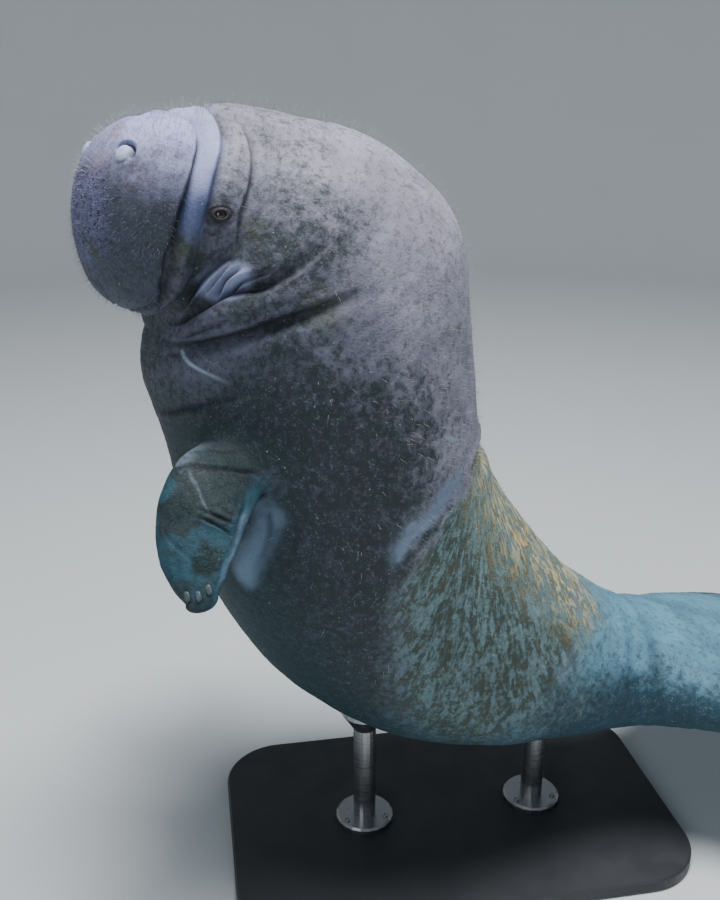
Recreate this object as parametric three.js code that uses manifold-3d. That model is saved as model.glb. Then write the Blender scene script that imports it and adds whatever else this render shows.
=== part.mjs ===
// A young adult manatee of the warm west Atlantic hanging upright in the water, as a life-size museum model.
// Millimetres, +Z up. The animal faces -X, its own left side is toward -Y, and its tail lies toward +X.
// The origin is the centre of the underside of the display stand's base.
import * as THREE from 'three';
import { mergeVertices } from 'three/addons/utils/BufferGeometryUtils.js';
import Module from 'manifold-3d';

const wasm = await Module();
wasm.setup();

// Joint between two pieces that touch, and the same joint where one skin is cut to another's facets.
const GAP = 0.3;
const SKIN_GAP = 0.5;

// The trunk as stations along the spine: the points on the back and the belly in side view, with the head
// still straight, the half breadth between them, and how square the section is (2 is an ellipse).
const STATIONS = [
  { name: 'muzzle_front', back: [-592, 1501], belly: [-624, 1198], half: 134, square: 2.1 },
  { name: 'muzzle_back', back: [-564, 1507], belly: [-609, 1190], half: 140, square: 2.1 },
  { name: 'muzzle_groove', back: [-528, 1508], belly: [-590, 1206], half: 138, square: 2.05 },
  { name: 'cheek', back: [-485, 1509], belly: [-580, 1190], half: 147, square: 2.0 },
  { name: 'jaw', back: [-420, 1507], belly: [-578, 1165], half: 168, square: 2.0 },
  { name: 'nape', back: [-318, 1491], belly: [-588, 1125], half: 212, square: 2.0 },
  { name: 'neck', back: [-172, 1448], belly: [-590, 1075], half: 255, square: 2.0 },
  { name: 'shoulder', back: [-40, 1330], belly: [-578, 1010], half: 285, square: 2.0 },
  { name: 'chest', back: [-4, 1165], belly: [-560, 930], half: 300, square: 2.0 },
  { name: 'rib', back: [10, 1010], belly: [-540, 810], half: 305, square: 2.0 },
  { name: 'waist', back: [30, 890], belly: [-500, 660], half: 305, square: 2.0 },
  { name: 'belly', back: [90, 778], belly: [-428, 520], half: 300, square: 2.0 },
  { name: 'paunch', back: [165, 682], belly: [-318, 400], half: 285, square: 2.0 },
  { name: 'loin', back: [232, 605], belly: [-178, 309], half: 260, square: 2.0 },
  { name: 'hip', back: [288, 560], belly: [-12, 256], half: 228, square: 2.0 },
  { name: 'rump', back: [330, 530], belly: [158, 245], half: 198, square: 2.0 },
  { name: 'stock', back: [385, 500], belly: [336, 248], half: 178, square: 2.0 },
  { name: 'tail_root', back: [470, 468], belly: [445, 262], half: 216, square: 2.0 },
  { name: 'paddle_near', back: [570, 430], belly: [558, 286], half: 278, square: 2.0 },
  { name: 'paddle_wide', back: [680, 392], belly: [673, 302], half: 312, square: 2.0 },
  { name: 'paddle_mid', back: [790, 361], belly: [785, 301], half: 318, square: 2.0 },
  { name: 'paddle_far', back: [890, 340], belly: [887, 295], half: 288, square: 2.0 },
  { name: 'paddle_end', back: [975, 326], belly: [973, 290], half: 224, square: 2.0 },
  { name: 'paddle_tip', back: [1025, 314], belly: [1024, 288], half: 150, square: 2.0 },
];
const LAST = STATIONS.length - 1;
const STATION = Object.fromEntries(STATIONS.map((station, k) => [station.name, k]));

// The head is turned to the animal's left about an upright line through the neck, and the turn
// fades out between the cheek and the chest.
const HEAD_YAW = THREE.MathUtils.degToRad(26);
const NECK_PIVOT_X = -300;
const YAW_FROM = STATION.cheek;
const YAW_TO = STATION.chest;

// The rounded front of the muzzle, the rounded end of the paddle, and how far the paddle's edges droop.
const MUZZLE_CAP = 88;
const PADDLE_CAP = 38;
const PADDLE_DROOP = 18;
const DROOP_STATIONS = 3;

// Where the trunk is cut into its named parts, as stations.
const CUTS = {
  neck: STATION.nape,
  chest: STATION.shoulder,
  belly: STATION.rib,
  loin: STATION.paunch,
  stock: STATION.rump + 0.5,
  paddle: STATION.tail_root + 0.4,
};
const BODY_COLUMNS = 56;
const TAIL_COLUMNS = 36;

// Folds of the skin, each a valley along a line on the left side, mirrored to the right, with a roll
// beside it. A point of the line is a station, degrees round from the back, and the fold's strength there.
const FOLDS = [
  { name: 'behind_muzzle', width: 12, depth: 11, roll: 0,
    line: [[2, 0, 0.8], [2.15, 20, 1], [2.05, 40, 1], [1.8, 55, 1], [1.05, 74, 1], [0.4, 88, 1], [0, 106, 1],
      [-0.02, 123, 1], [0.3, 140, 0.6], [0.9, 156, 0]] },
  { name: 'jaw', width: 25, depth: 13, roll: 4,
    line: [[4.1, 166, 0], [3.8, 148, 0.6], [4.6, 118, 1], [5.5, 103, 1], [5.85, 91, 0.8], [6.1, 76, 0]] },
  { name: 'jowl', width: 25, depth: 13, roll: 4,
    line: [[4.75, 168, 0], [5.1, 147, 0.8], [5.8, 124, 1], [6.15, 110, 1], [6.4, 94, 0.8], [6.7, 80, 0]] },
  { name: 'cheek', width: 13, depth: 5, roll: 0,
    line: [[3.75, 34, 0], [3.85, 60, 1], [3.8, 75, 1], [3.75, 87, 1], [4.15, 106, 0]] },
  { name: 'brow', width: 13, depth: 5, roll: 0,
    line: [[3, 18, 0], [3, 44, 1], [2.8, 66, 1], [2.35, 74, 1], [2.15, 88, 0]] },
  { name: 'back_overlap', width: 28, depth: 9, roll: 3, line: [[9.6, 0, 1], [9.6, 22, 1], [9.75, 40, 0]] },
];
const FOLD_REACH = 4;
const FOLD_SUBSTEPS = 4;

// Fleshy swellings of the face, each a centre on the skin with a spread and a height, mirrored.
const SWELLINGS = [
  { name: 'lip_pad', t: -0.3, angle: 148, spread: 48, height: 6 },
  { name: 'nose_pad', t: -0.35, angle: 40, spread: 32, height: 5 },
  { name: 'cheek_pad', t: 3.4, angle: 124, spread: 50, height: 4 },
];
// The cleft that parts the two upper lip pads runs down the middle of the face.
const CLEFT = { width: 18, depth: 14, from: -0.5, to: -0.05, reach: 1 };

// The mouth in the straight head's side view: the line of the lips and the rear of the lower jaw.
const MOUTH_FRONT = [-650, 1212];
const MOUTH_CORNER = [-572, 1250];
const MOUTH_ARCH = 6;
const JAW_REAR = [[-556, 1230], [-562, 1200], [-574, 1162]];
const JAW_REACH = 130;
const HEAD_BREADTH = 700;

// Eyes sit deep between two thick lids, each half of a flattened ring. Angles are round from the back.
const EYE = { t: 2.78, angle: 88.5, radius: 10, sunk: 7.5 };
const LID = { ring: 11.5, thick: 4.2, squeeze: 0.72, flatten: 0.8, sunk: 0.5 };

// Each nostril is shut by a round fleshy plug, with a crescent slit above and behind it.
const NOSTRIL = { t: -0.43, angle: 41 };
const SLIT = { radius: 14, half: 4, deep: 1.6, arc: 1.2 * Math.PI, middle: 0.25 * Math.PI, tip: 0.35 };
const PLUG = { radius: 12, height: 4 };

// The left flipper's centre line from inside the chest over the elbow and wrist to the tip, with the
// half breadth and half thickness at each place and the way its upper face looks.
const FLIPPER = [
  { at: [-425, -160, 945], half: 60, thick: 40, face: [0.4, -0.2, 0.85] },
  { at: [-458, -255, 952], half: 66, thick: 38, face: [0.3, -0.5, 0.75] },
  { at: [-497, -322, 932], half: 69, thick: 33, face: [0, -0.9, 0.4] },
  { at: [-511, -356, 898], half: 66, thick: 26, face: [-0.1, -1, 0.15] },
  { at: [-518, -385, 866], half: 55, thick: 20, face: [-0.1, -1, 0.1] },
  { at: [-517, -408, 838], half: 42, thick: 15, face: [-0.1, -1, 0.1] },
  { at: [-513, -424, 819], half: 27, thick: 11, face: [-0.1, -1, 0.1] },
];
const FLIPPER_COLUMNS = 18;
const FLIPPER_ROWS = 12;
const FLIPPER_TIP = 18;
const TIP_TURNS = [0.3, 0.6, 0.85].map((f) => f * Math.PI / 2);

// Three blunt nails on the upper face of each flipper's tip, each let into the skin. Places run along
// the flipper from 0 to 1, and across it from -1 to 1.
const NAIL = { length: 17, breadth: 10, thick: 5 };
const NAIL_PLACES = [
  { along: 0.93, across: -0.5 },
  { along: 0.965, across: 0 },
  { along: 0.93, across: 0.5 },
];

// The display stand: a round-cornered base, and two short rods whose cups meet the belly.
const BASE = { length: 960, breadth: 580, height: 30, corner: 120, edge: 4 };
const ROD = { radius: 24, foot: 62, footHeight: 14, footEdge: 4, cup: 50, flare: 40 };
const RODS = [
  { name: 'stand_rod_front', x: -190, cupFrom: 262, top: 400 },
  { name: 'stand_rod_rear', x: 190, cupFrom: 196, top: 330 },
];

const COLOURS = {
  hide: 0x6f6a72, muzzle: 0x77717c, jaw: 0x5d5a60, flipper: 0x5a5d62, eye: 0x1a1412, nail: 0xb9b2a4,
  base: 0x2c2f33, rod: 0x8d9196,
};
const HIDE_ROUGHNESS = 0.7;

const clamp01 = (x) => Math.min(1, Math.max(0, x));
const degrees = THREE.MathUtils.degToRad;
const { lerp } = THREE.MathUtils;
const ease = (x) => THREE.MathUtils.smoothstep(x, 0, 1);
const bell = (x) => Math.exp(-x * x);

// One number of the station table, read anywhere between two stations by a smooth curve through all.
function alongBody(t, read) {
  const i = Math.min(LAST - 1, Math.max(0, Math.floor(t)));
  const f = Math.min(1, Math.max(0, t - i));
  const p1 = read(STATIONS[i]);
  const p2 = read(STATIONS[i + 1]);
  const p0 = i > 0 ? read(STATIONS[i - 1]) : 2 * p1 - p2;
  const p3 = i < LAST - 1 ? read(STATIONS[i + 2]) : 2 * p2 - p1;
  const m1 = (p2 - p0) / 2;
  const m2 = (p3 - p1) / 2;
  return (2 * f ** 3 - 3 * f ** 2 + 1) * p1 + (f ** 3 - 2 * f ** 2 + f) * m1
    + (-2 * f ** 3 + 3 * f ** 2) * p2 + (f ** 3 - f ** 2) * m2;
}

const yawAt = (t) => HEAD_YAW * (1 - ease((t - YAW_FROM) / (YAW_TO - YAW_FROM)));

// Turns a point given in the straight head's own frame to where the turned head has it.
function turned(x, y, z, yaw) {
  const dx = x - NECK_PIVOT_X;
  return new THREE.Vector3(
    NECK_PIVOT_X + dx * Math.cos(yaw) - y * Math.sin(yaw),
    dx * Math.sin(yaw) + y * Math.cos(yaw),
    z,
  );
}

// The side view of the straight head, seen through the turn.
function straightSide(p) {
  const dx = p.x - NECK_PIVOT_X;
  return [NECK_PIVOT_X + dx * Math.cos(HEAD_YAW) + p.y * Math.sin(HEAD_YAW), p.z];
}

const signedPower = (x, e) => Math.sign(x) * Math.abs(x) ** e;

// The smooth body. t counts stations, from -1 at the front of the muzzle to LAST + 1 at the paddle's end.
// The angle starts at the back and runs over the animal's left side.
function smoothBody(t, angle) {
  const along = Math.min(LAST, Math.max(0, t));
  const back = [alongBody(along, (s) => s.back[0]), alongBody(along, (s) => s.back[1])];
  const belly = [alongBody(along, (s) => s.belly[0]), alongBody(along, (s) => s.belly[1])];
  const half = alongBody(along, (s) => s.half);
  const power = 2 / alongBody(along, (s) => s.square);
  const depth = Math.hypot(back[0] - belly[0], back[1] - belly[1]) / 2;
  const up = [(back[0] - belly[0]) / (2 * depth), (back[1] - belly[1]) / (2 * depth)];
  const front = clamp01(-t) * Math.PI / 2;
  const rear = clamp01(t - LAST) * Math.PI / 2;
  const shrink = Math.cos(front) * Math.cos(rear);
  const push = Math.sin(front) * MUZZLE_CAP - Math.sin(rear) * PADDLE_CAP;
  const rise = depth * shrink * signedPower(Math.cos(angle), power);
  const side = signedPower(Math.sin(angle), power);
  const droop = PADDLE_DROOP * ease((t - STATION.stock) / DROOP_STATIONS) * side * side;
  const x = (back[0] + belly[0]) / 2 + up[0] * rise - up[1] * push;
  const z = (back[1] + belly[1]) / 2 + up[1] * rise + up[0] * push - droop;
  return turned(x, -half * shrink * side, z, yawAt(t));
}

const STEP_T = 0.02;
const STEP_ANGLE = 0.01;
function bodyNormal(t, angle) {
  const ahead = smoothBody(Math.min(t + STEP_T, LAST + 0.99), angle);
  const behind = smoothBody(Math.max(t - STEP_T, -0.99), angle);
  const around = smoothBody(t, angle + STEP_ANGLE).sub(smoothBody(t, angle - STEP_ANGLE));
  return around.cross(ahead.sub(behind)).normalize();
}

// Evenly spaced numbers from one end to the other, both ends included.
function steps(from, to, count) {
  return Array.from({ length: count + 1 }, (_, k) => lerp(from, to, k / count));
}

// A fold's line on one side of the body, as points with the strength of the fold at each.
function foldPoints(fold, mirror) {
  const sub = fold.line.slice(1).flatMap((end, k) => steps(0, 1, FOLD_SUBSTEPS).slice(k ? 1 : 0)
    .map((f) => end.map((value, j) => lerp(fold.line[k][j], value, f))));
  return sub.map(([t, angle, strength]) => ({
    at: smoothBody(t, degrees(mirror ? 360 - angle : angle)), strength,
  }));
}
const FOLD_LINES = FOLDS.map((fold) => ({ fold, lines: [foldPoints(fold, false), foldPoints(fold, true)] }));

// How far a point is from the nearest of some lines, and how strong the line is there.
function nearestOnLines(p, lines) {
  const nearest = { distance: Infinity, strength: 0 };
  const segment = new THREE.Line3();
  const foot = new THREE.Vector3();
  for (const line of lines) {
    for (let k = 0; k < line.length - 1; k += 1) {
      segment.set(line[k].at, line[k + 1].at);
      const f = segment.closestPointToPointParameter(p, true);
      const distance = segment.at(f, foot).distanceTo(p);
      if (distance < nearest.distance) {
        nearest.distance = distance;
        nearest.strength = lerp(line[k].strength, line[k + 1].strength, f);
      }
    }
  }
  return nearest;
}

const SWELLING_POINTS = SWELLINGS.flatMap(({ t, angle, spread, height }) => (
  [angle, 360 - angle].map((a) => ({ at: smoothBody(t, degrees(a)), spread, height }))));
const CLEFT_LINE = steps(CLEFT.from, CLEFT.to, FOLD_SUBSTEPS)
  .map((t) => ({ at: smoothBody(t, Math.PI), strength: 1 }));

// The body with its folds and swellings; grow lifts the whole skin, for trimming what grows from it.
function skin(t, angle, grow = 0) {
  const p = smoothBody(t, angle);
  let lift = grow;
  for (const { fold, lines } of FOLD_LINES) {
    const { distance, strength } = nearestOnLines(p, lines);
    if (distance < fold.width * FOLD_REACH) {
      const valley = fold.depth * bell(distance / fold.width);
      const roll = fold.roll * bell((distance - fold.width * 2) / fold.width);
      lift += strength * (roll - valley);
    }
  }
  for (const { at, spread, height } of SWELLING_POINTS) lift += height * bell(p.distanceTo(at) / spread);
  if (t < CLEFT.reach) lift -= CLEFT.depth * bell(nearestOnLines(p, [CLEFT_LINE]).distance / CLEFT.width);
  return p.addScaledVector(bodyNormal(t, angle), lift);
}

// A closed mesh as a solid for joining and cutting, and back.
const MERGE_WITHIN = 1e-4;
function solidOf(geometry) {
  const plain = geometry.clone();
  plain.deleteAttribute('normal');
  plain.deleteAttribute('uv');
  const merged = mergeVertices(plain, MERGE_WITHIN);
  return new wasm.Manifold(new wasm.Mesh({
    numProp: 3,
    vertProperties: new Float32Array(merged.attributes.position.array),
    triVerts: new Uint32Array(merged.index.array),
  }));
}

function geometryOf(solid) {
  const mesh = solid.getMesh();
  const geometry = new THREE.BufferGeometry();
  geometry.setAttribute('position', new THREE.BufferAttribute(new Float32Array(mesh.vertProperties), 3));
  geometry.setIndex(new THREE.BufferAttribute(new Uint32Array(mesh.triVerts), 1));
  return geometry;
}

const byVolume = (solid) => solid.decompose().sort((a, b) => b.volume() - a.volume());
const largest = (solid) => byVolume(solid)[0];

// A closed tube of rings: each ring is a list of points, and each end closes on its own middle.
function ringSolid(rings, frontPoint, rearPoint) {
  const count = rings[0].length;
  const positions = [];
  rings.forEach((ring) => ring.forEach((p) => positions.push(p.x, p.y, p.z)));
  const front = positions.length / 3;
  positions.push(frontPoint.x, frontPoint.y, frontPoint.z);
  positions.push(rearPoint.x, rearPoint.y, rearPoint.z);
  const index = [];
  for (let k = 0; k < count; k += 1) {
    const n = (k + 1) % count;
    for (let i = 0; i < rings.length - 1; i += 1) {
      const a = i * count + k;
      const b = i * count + n;
      index.push(a, b, a + count, b, b + count, a + count);
    }
    const last = (rings.length - 1) * count;
    index.push(n, k, front, last + k, last + n, front + 1);
  }
  const geometry = new THREE.BufferGeometry();
  geometry.setAttribute('position', new THREE.BufferAttribute(new Float32Array(positions), 3));
  geometry.setIndex(index);
  return solidOf(geometry);
}

const middleOf = (ring) => ring.reduce((sum, p) => sum.add(p), new THREE.Vector3()).divideScalar(ring.length);

// A length of the body from one list of stations, as a closed solid.
function bodyLength(ts, columns, grow = 0) {
  const rings = ts.map((t) => (
    Array.from({ length: columns }, (_, k) => skin(t, k / columns * 2 * Math.PI, grow))));
  return ringSolid(rings, middleOf(rings[0]), middleOf(rings.at(-1)));
}

// The cut between two lengths takes half the joint from each side, where the stations lie closest together.
function trimmed(ts, { front, rear }) {
  const across = (t, angle) => smoothBody(t + 0.5, angle).distanceTo(smoothBody(t - 0.5, angle));
  const half = (t) => GAP / 2 / Math.min(across(t, 0), across(t, Math.PI));
  const out = ts.slice();
  if (front) out[0] += half(out[0]);
  if (rear) out[out.length - 1] -= half(out.at(-1));
  return out;
}


// The trunk in its named lengths. The head is cut further below.
const HEAD_ROWS = [
  ...steps(-0.97, -0.55, 5), ...steps(-0.45, 0, 4), ...steps(0.25, 2, 7), ...steps(2.2, CUTS.neck, 14),
];
const NECK_ROWS = steps(CUTS.neck, CUTS.chest, 14);
const CHEST_ROWS = steps(CUTS.chest, CUTS.belly, 5);
const BELLY_ROWS = steps(CUTS.belly, CUTS.loin, 7);
const LOIN_ROWS = steps(CUTS.loin, CUTS.stock, 7);
const STOCK_ROWS = steps(CUTS.stock, CUTS.paddle, 5);
const PADDLE_ROWS = [...steps(CUTS.paddle, LAST, 12), ...steps(LAST + 0.3, LAST + 0.95, 3)];
const bothEnds = { front: true, rear: true };
const lengths = {
  neck: bodyLength(trimmed(NECK_ROWS, bothEnds), BODY_COLUMNS),
  chest: bodyLength(trimmed(CHEST_ROWS, bothEnds), BODY_COLUMNS),
  belly: bodyLength(trimmed(BELLY_ROWS, bothEnds), BODY_COLUMNS),
  loin: bodyLength(trimmed(LOIN_ROWS, bothEnds), BODY_COLUMNS),
  tail_stock: bodyLength(trimmed(STOCK_ROWS, bothEnds), TAIL_COLUMNS),
  tail_paddle: bodyLength(trimmed(PADDLE_ROWS, { front: true }), TAIL_COLUMNS),
};
const wholeHead = bodyLength(trimmed(HEAD_ROWS, { rear: true }), BODY_COLUMNS);

// The skin of the torso lifted by the joint, used to trim what grows from it or holds it.
const TORSO_ROWS = [NECK_ROWS, CHEST_ROWS, BELLY_ROWS, LOIN_ROWS].flatMap((rows, k) => rows.slice(k ? 1 : 0));
const torsoLifted = bodyLength(TORSO_ROWS, BODY_COLUMNS, SKIN_GAP);

// A prism across the head, from an outline in the straight head's own side view, turned with the head.
function acrossHead(outline) {
  const shape = new THREE.Shape(outline.map(([x, z]) => new THREE.Vector2(x, z)));
  const geometry = new THREE.ExtrudeGeometry(shape, { depth: HEAD_BREADTH, bevelEnabled: false });
  geometry.rotateX(Math.PI / 2);
  geometry.translate(-NECK_PIVOT_X, HEAD_BREADTH / 2, 0);
  geometry.rotateZ(HEAD_YAW);
  geometry.translate(NECK_PIVOT_X, 0, 0);
  return solidOf(geometry);
}

// The lower jaw's outline: its upper edge is the line of the mouth, which starts under the lip pads.
function jawOutline(grow) {
  const lip = [0, 0.25, 0.5, 0.75].map((f) => [
    lerp(MOUTH_FRONT[0], MOUTH_CORNER[0], f),
    lerp(MOUTH_FRONT[1], MOUTH_CORNER[1], f) + MOUTH_ARCH * Math.sin(Math.PI * f) + grow,
  ]);
  return [
    [MOUTH_FRONT[0] - JAW_REACH, MOUTH_FRONT[1] + grow],
    ...lip,
    [MOUTH_CORNER[0] + grow, MOUTH_CORNER[1] + grow],
    ...JAW_REAR.map(([x, z]) => [x + grow, z]),
    [JAW_REAR.at(-1)[0] - JAW_REACH, JAW_REAR.at(-1)[1] - grow],
  ];
}
const lowerJaw = largest(wholeHead.intersect(acrossHead(jawOutline(0))));
const upperHead = wholeHead.subtract(acrossHead(jawOutline(GAP)));

// The muzzle is parted from the head by a thin curved slab that follows the fold behind it and runs on
// past it, over the head and under the throat.
const SLAB = { over: 60, under: 80, back: 20, thick: 1.2 * GAP };
const muzzleFold = FOLD_LINES.find(({ fold }) => fold.name === 'behind_muzzle').lines[0]
  .filter((_, k) => k % FOLD_SUBSTEPS === 0)
  .map(({ at }) => straightSide(at));
const [foldTop, foldFoot] = [muzzleFold[0], muzzleFold.at(-1)];
const slabLine = [[foldTop[0], foldTop[1] + SLAB.over], ...muzzleFold,
  [foldFoot[0] + SLAB.back, foldFoot[1] - SLAB.under]];
const slabCorners = [[0, -0.5], [0, 0.5], [SLAB.thick, 0.5], [SLAB.thick, -0.5]];
const slabRings = slabLine.map(([x, z]) => (
  slabCorners.map(([dx, side]) => turned(x + dx, side * HEAD_BREADTH, z, HEAD_YAW))));
const slab = ringSolid(slabRings, middleOf(slabRings[0]), middleOf(slabRings.at(-1)));
let [head, muzzle] = byVolume(upperHead.subtract(slab));

const parts = new Map();
function addPart(name, solid, color, roughness, metalness = 0) {
  parts.set(name, { solid, look: { color, roughness, metalness } });
}

// A place on the skin: fore along the head, up, and out of the skin.
function surfaceFrame(t, angle) {
  const out = bodyNormal(t, angle);
  const up = new THREE.Vector3(0, 0, 1).addScaledVector(out, -out.z).normalize();
  const fore = new THREE.Vector3().crossVectors(up, out);
  return new THREE.Matrix4().makeBasis(fore, up, out).setPosition(skin(t, angle));
}

function eyeBall(frame, radius) {
  const ball = new THREE.SphereGeometry(radius, 14, 8);
  ball.translate(0, 0, -EYE.sunk);
  return solidOf(ball.applyMatrix4(frame));
}

function eyeLids(frame) {
  const lids = new THREE.TorusGeometry(LID.ring, LID.thick, 6, 16);
  lids.scale(1, LID.squeeze, LID.flatten);
  lids.translate(0, 0, -LID.sunk);
  return solidOf(lids.applyMatrix4(frame));
}

for (const [side, sign] of [['left', 1], ['right', -1]]) {
  const frame = surfaceFrame(EYE.t, sign * degrees(EYE.angle));
  head = head.add(eyeLids(frame)).subtract(eyeBall(frame, EYE.radius + GAP));
  addPart(`eye_${side}`, eyeBall(frame, EYE.radius), COLOURS.eye, 0.15);
}

// A bent rod that tapers to both ends: part of a ring about the Z axis.
function crescent(start) {
  const turns = 9;
  const sides = 6;
  const rings = steps(start, start + SLIT.arc, turns).map((a, k) => {
    const half = SLIT.half * lerp(SLIT.tip, 1, Math.sin(Math.PI * k / turns));
    return Array.from({ length: sides }, (_, s) => {
      const b = -s / sides * 2 * Math.PI;
      const r = SLIT.radius + half * Math.cos(b);
      return new THREE.Vector3(r * Math.cos(a), r * Math.sin(a), half * SLIT.deep * Math.sin(b));
    });
  });
  return ringSolid(rings, middleOf(rings[0]), middleOf(rings.at(-1)));
}

function nostrilPlug(frame) {
  const plug = new THREE.SphereGeometry(PLUG.radius, 10, 6);
  plug.scale(1, 1, PLUG.height / PLUG.radius);
  return solidOf(plug.applyMatrix4(frame));
}

for (const sign of [1, -1]) {
  const frame = surfaceFrame(NOSTRIL.t, sign * degrees(NOSTRIL.angle));
  const middle = sign > 0 ? SLIT.middle : Math.PI - SLIT.middle;
  const slit = crescent(middle - SLIT.arc / 2).transform(frame.elements);
  muzzle = muzzle.subtract(slit).add(nostrilPlug(frame));
}

addPart('muzzle', largest(muzzle), COLOURS.muzzle, HIDE_ROUGHNESS);
addPart('lower_jaw', lowerJaw, COLOURS.jaw, HIDE_ROUGHNESS);
addPart('head', largest(head), COLOURS.hide, HIDE_ROUGHNESS);
for (const [name, solid] of Object.entries(lengths)) addPart(name, solid, COLOURS.hide, HIDE_ROUGHNESS);

// The flipper's own axes at a place along it: along the limb, across its breadth, and out of its upper face.
function flipperFrame(side) {
  const mirrored = ([x, y, z]) => new THREE.Vector3(x, side * y, z);
  const centres = new THREE.CatmullRomCurve3(FLIPPER.map(({ at }) => mirrored(at)));
  const faces = new THREE.CatmullRomCurve3(FLIPPER.map(({ face }) => mirrored(face)));
  const between = (u, key) => {
    const place = u * (FLIPPER.length - 1);
    const k = Math.min(FLIPPER.length - 2, Math.floor(place));
    return lerp(FLIPPER[k][key], FLIPPER[k + 1][key], place - k);
  };
  return (u) => {
    const along = centres.getTangent(Math.min(u, 0.999));
    const across = new THREE.Vector3().crossVectors(faces.getPoint(u), along).normalize();
    const out = new THREE.Vector3().crossVectors(along, across).normalize();
    const [half, thick] = [between(u, 'half'), between(u, 'thick')];
    return { centre: centres.getPoint(u), along, across, out, half, thick };
  };
}

function flipperSolid(frameAt) {
  const ring = (u, shrink, push) => {
    const { centre, along, across, out, half, thick } = frameAt(u);
    return Array.from({ length: FLIPPER_COLUMNS }, (_, k) => {
      const a = k / FLIPPER_COLUMNS * 2 * Math.PI;
      return centre.clone().addScaledVector(along, push)
        .addScaledVector(across, half * shrink * Math.cos(a))
        .addScaledVector(out, thick * shrink * Math.sin(a));
    });
  };
  const limb = steps(0, 1, FLIPPER_ROWS).map((u) => ring(u, 1, 0));
  const tip = TIP_TURNS.map((a) => ring(1, Math.cos(a), Math.sin(a) * FLIPPER_TIP));
  return ringSolid([...limb, ...tip], middleOf(limb[0]), middleOf(tip.at(-1)));
}

function nailSolid(frameAt, place, grow) {
  const { centre, along, across, out, half, thick } = frameAt(place.along);
  const at = centre.clone().addScaledVector(across, half * place.across)
    .addScaledVector(out, thick * Math.sqrt(1 - place.across ** 2));
  const nail = new THREE.SphereGeometry(1, 8, 6);
  nail.scale(NAIL.breadth / 2 + grow, NAIL.length / 2 + grow, NAIL.thick / 2 + grow);
  nail.applyMatrix4(new THREE.Matrix4().makeBasis(across, along.clone().negate(), out).setPosition(at));
  return solidOf(nail);
}

for (const [name, side] of [['left', 1], ['right', -1]]) {
  const frameAt = flipperFrame(side);
  let flipper = largest(flipperSolid(frameAt).subtract(torsoLifted));
  NAIL_PLACES.forEach((place, k) => {
    flipper = flipper.subtract(nailSolid(frameAt, place, GAP));
    addPart(`nail_${name}_${k + 1}`, nailSolid(frameAt, place, 0), COLOURS.nail, 0.4);
  });
  addPart(`flipper_${name}`, largest(flipper), COLOURS.flipper, HIDE_ROUGHNESS);
}

function baseSolid() {
  const x = BASE.length / 2 - BASE.edge - BASE.corner;
  const y = BASE.breadth / 2 - BASE.edge - BASE.corner;
  const quarter = Math.PI / 2;
  const outline = new THREE.Shape();
  outline.absarc(x, -y, BASE.corner, -quarter, 0, false);
  outline.absarc(x, y, BASE.corner, 0, quarter, false);
  outline.absarc(-x, y, BASE.corner, quarter, 2 * quarter, false);
  outline.absarc(-x, -y, BASE.corner, 2 * quarter, 3 * quarter, false);
  const base = new THREE.ExtrudeGeometry(outline, {
    depth: BASE.height - 2 * BASE.edge, curveSegments: 6,
    bevelThickness: BASE.edge, bevelSize: BASE.edge, bevelSegments: 1,
  });
  base.translate(0, 0, BASE.edge);
  return solidOf(base);
}

function rodSolid({ x, cupFrom, top }) {
  const low = BASE.height + GAP;
  const footTop = low + ROD.footHeight;
  const profile = [
    [0, low], [ROD.foot, low], [ROD.foot, footTop - ROD.footEdge], [ROD.foot - ROD.footEdge, footTop],
    [ROD.radius, footTop], [ROD.radius, cupFrom], [ROD.cup, cupFrom + ROD.flare], [ROD.cup, top], [0, top],
  ].map(([r, z]) => new THREE.Vector2(r, z));
  const rod = new THREE.LatheGeometry(profile, 20);
  rod.rotateX(Math.PI / 2);
  rod.translate(x, 0, 0);
  return largest(solidOf(rod).subtract(torsoLifted));
}

addPart('stand_base', baseSolid(), COLOURS.base, 0.45);
for (const rod of RODS) addPart(rod.name, rodSolid(rod), COLOURS.rod, 0.35, 0.9);

const model = new THREE.Group();
for (const [name, { solid, look }] of parts) {
  const mesh = new THREE.Mesh(geometryOf(solid), new THREE.MeshStandardMaterial(look));
  mesh.name = name;
  model.add(mesh);
}

export default model;
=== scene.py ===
import math

import bmesh
import bpy
import numpy as np
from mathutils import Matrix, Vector
from mathutils.kdtree import KDTree


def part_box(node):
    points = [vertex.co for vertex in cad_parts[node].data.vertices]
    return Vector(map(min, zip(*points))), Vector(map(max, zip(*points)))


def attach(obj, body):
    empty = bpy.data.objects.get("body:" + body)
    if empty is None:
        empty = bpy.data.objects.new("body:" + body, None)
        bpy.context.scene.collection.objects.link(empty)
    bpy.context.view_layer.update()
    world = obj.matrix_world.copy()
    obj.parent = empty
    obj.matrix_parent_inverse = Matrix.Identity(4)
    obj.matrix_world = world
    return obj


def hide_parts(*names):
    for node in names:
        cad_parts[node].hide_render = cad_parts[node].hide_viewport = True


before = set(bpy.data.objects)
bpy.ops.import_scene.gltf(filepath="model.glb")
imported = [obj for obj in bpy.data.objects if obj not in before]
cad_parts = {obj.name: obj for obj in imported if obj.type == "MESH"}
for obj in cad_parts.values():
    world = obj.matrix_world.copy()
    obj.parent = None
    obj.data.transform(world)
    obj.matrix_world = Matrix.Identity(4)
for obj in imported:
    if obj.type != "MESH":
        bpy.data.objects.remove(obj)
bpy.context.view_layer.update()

# Camera. The animal is seen from its own left side, a little from the front and from above its middle,
# as a swimmer beside it would see it.
VIEW_TARGET = Vector((-0.200, 0.0, 0.885))
VIEW_DISTANCE = 1.9
VIEW_AZIMUTH = math.radians(-10)
VIEW_ELEVATION = math.radians(20)
LENS = 40.0
SENSOR = 36.0
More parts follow.
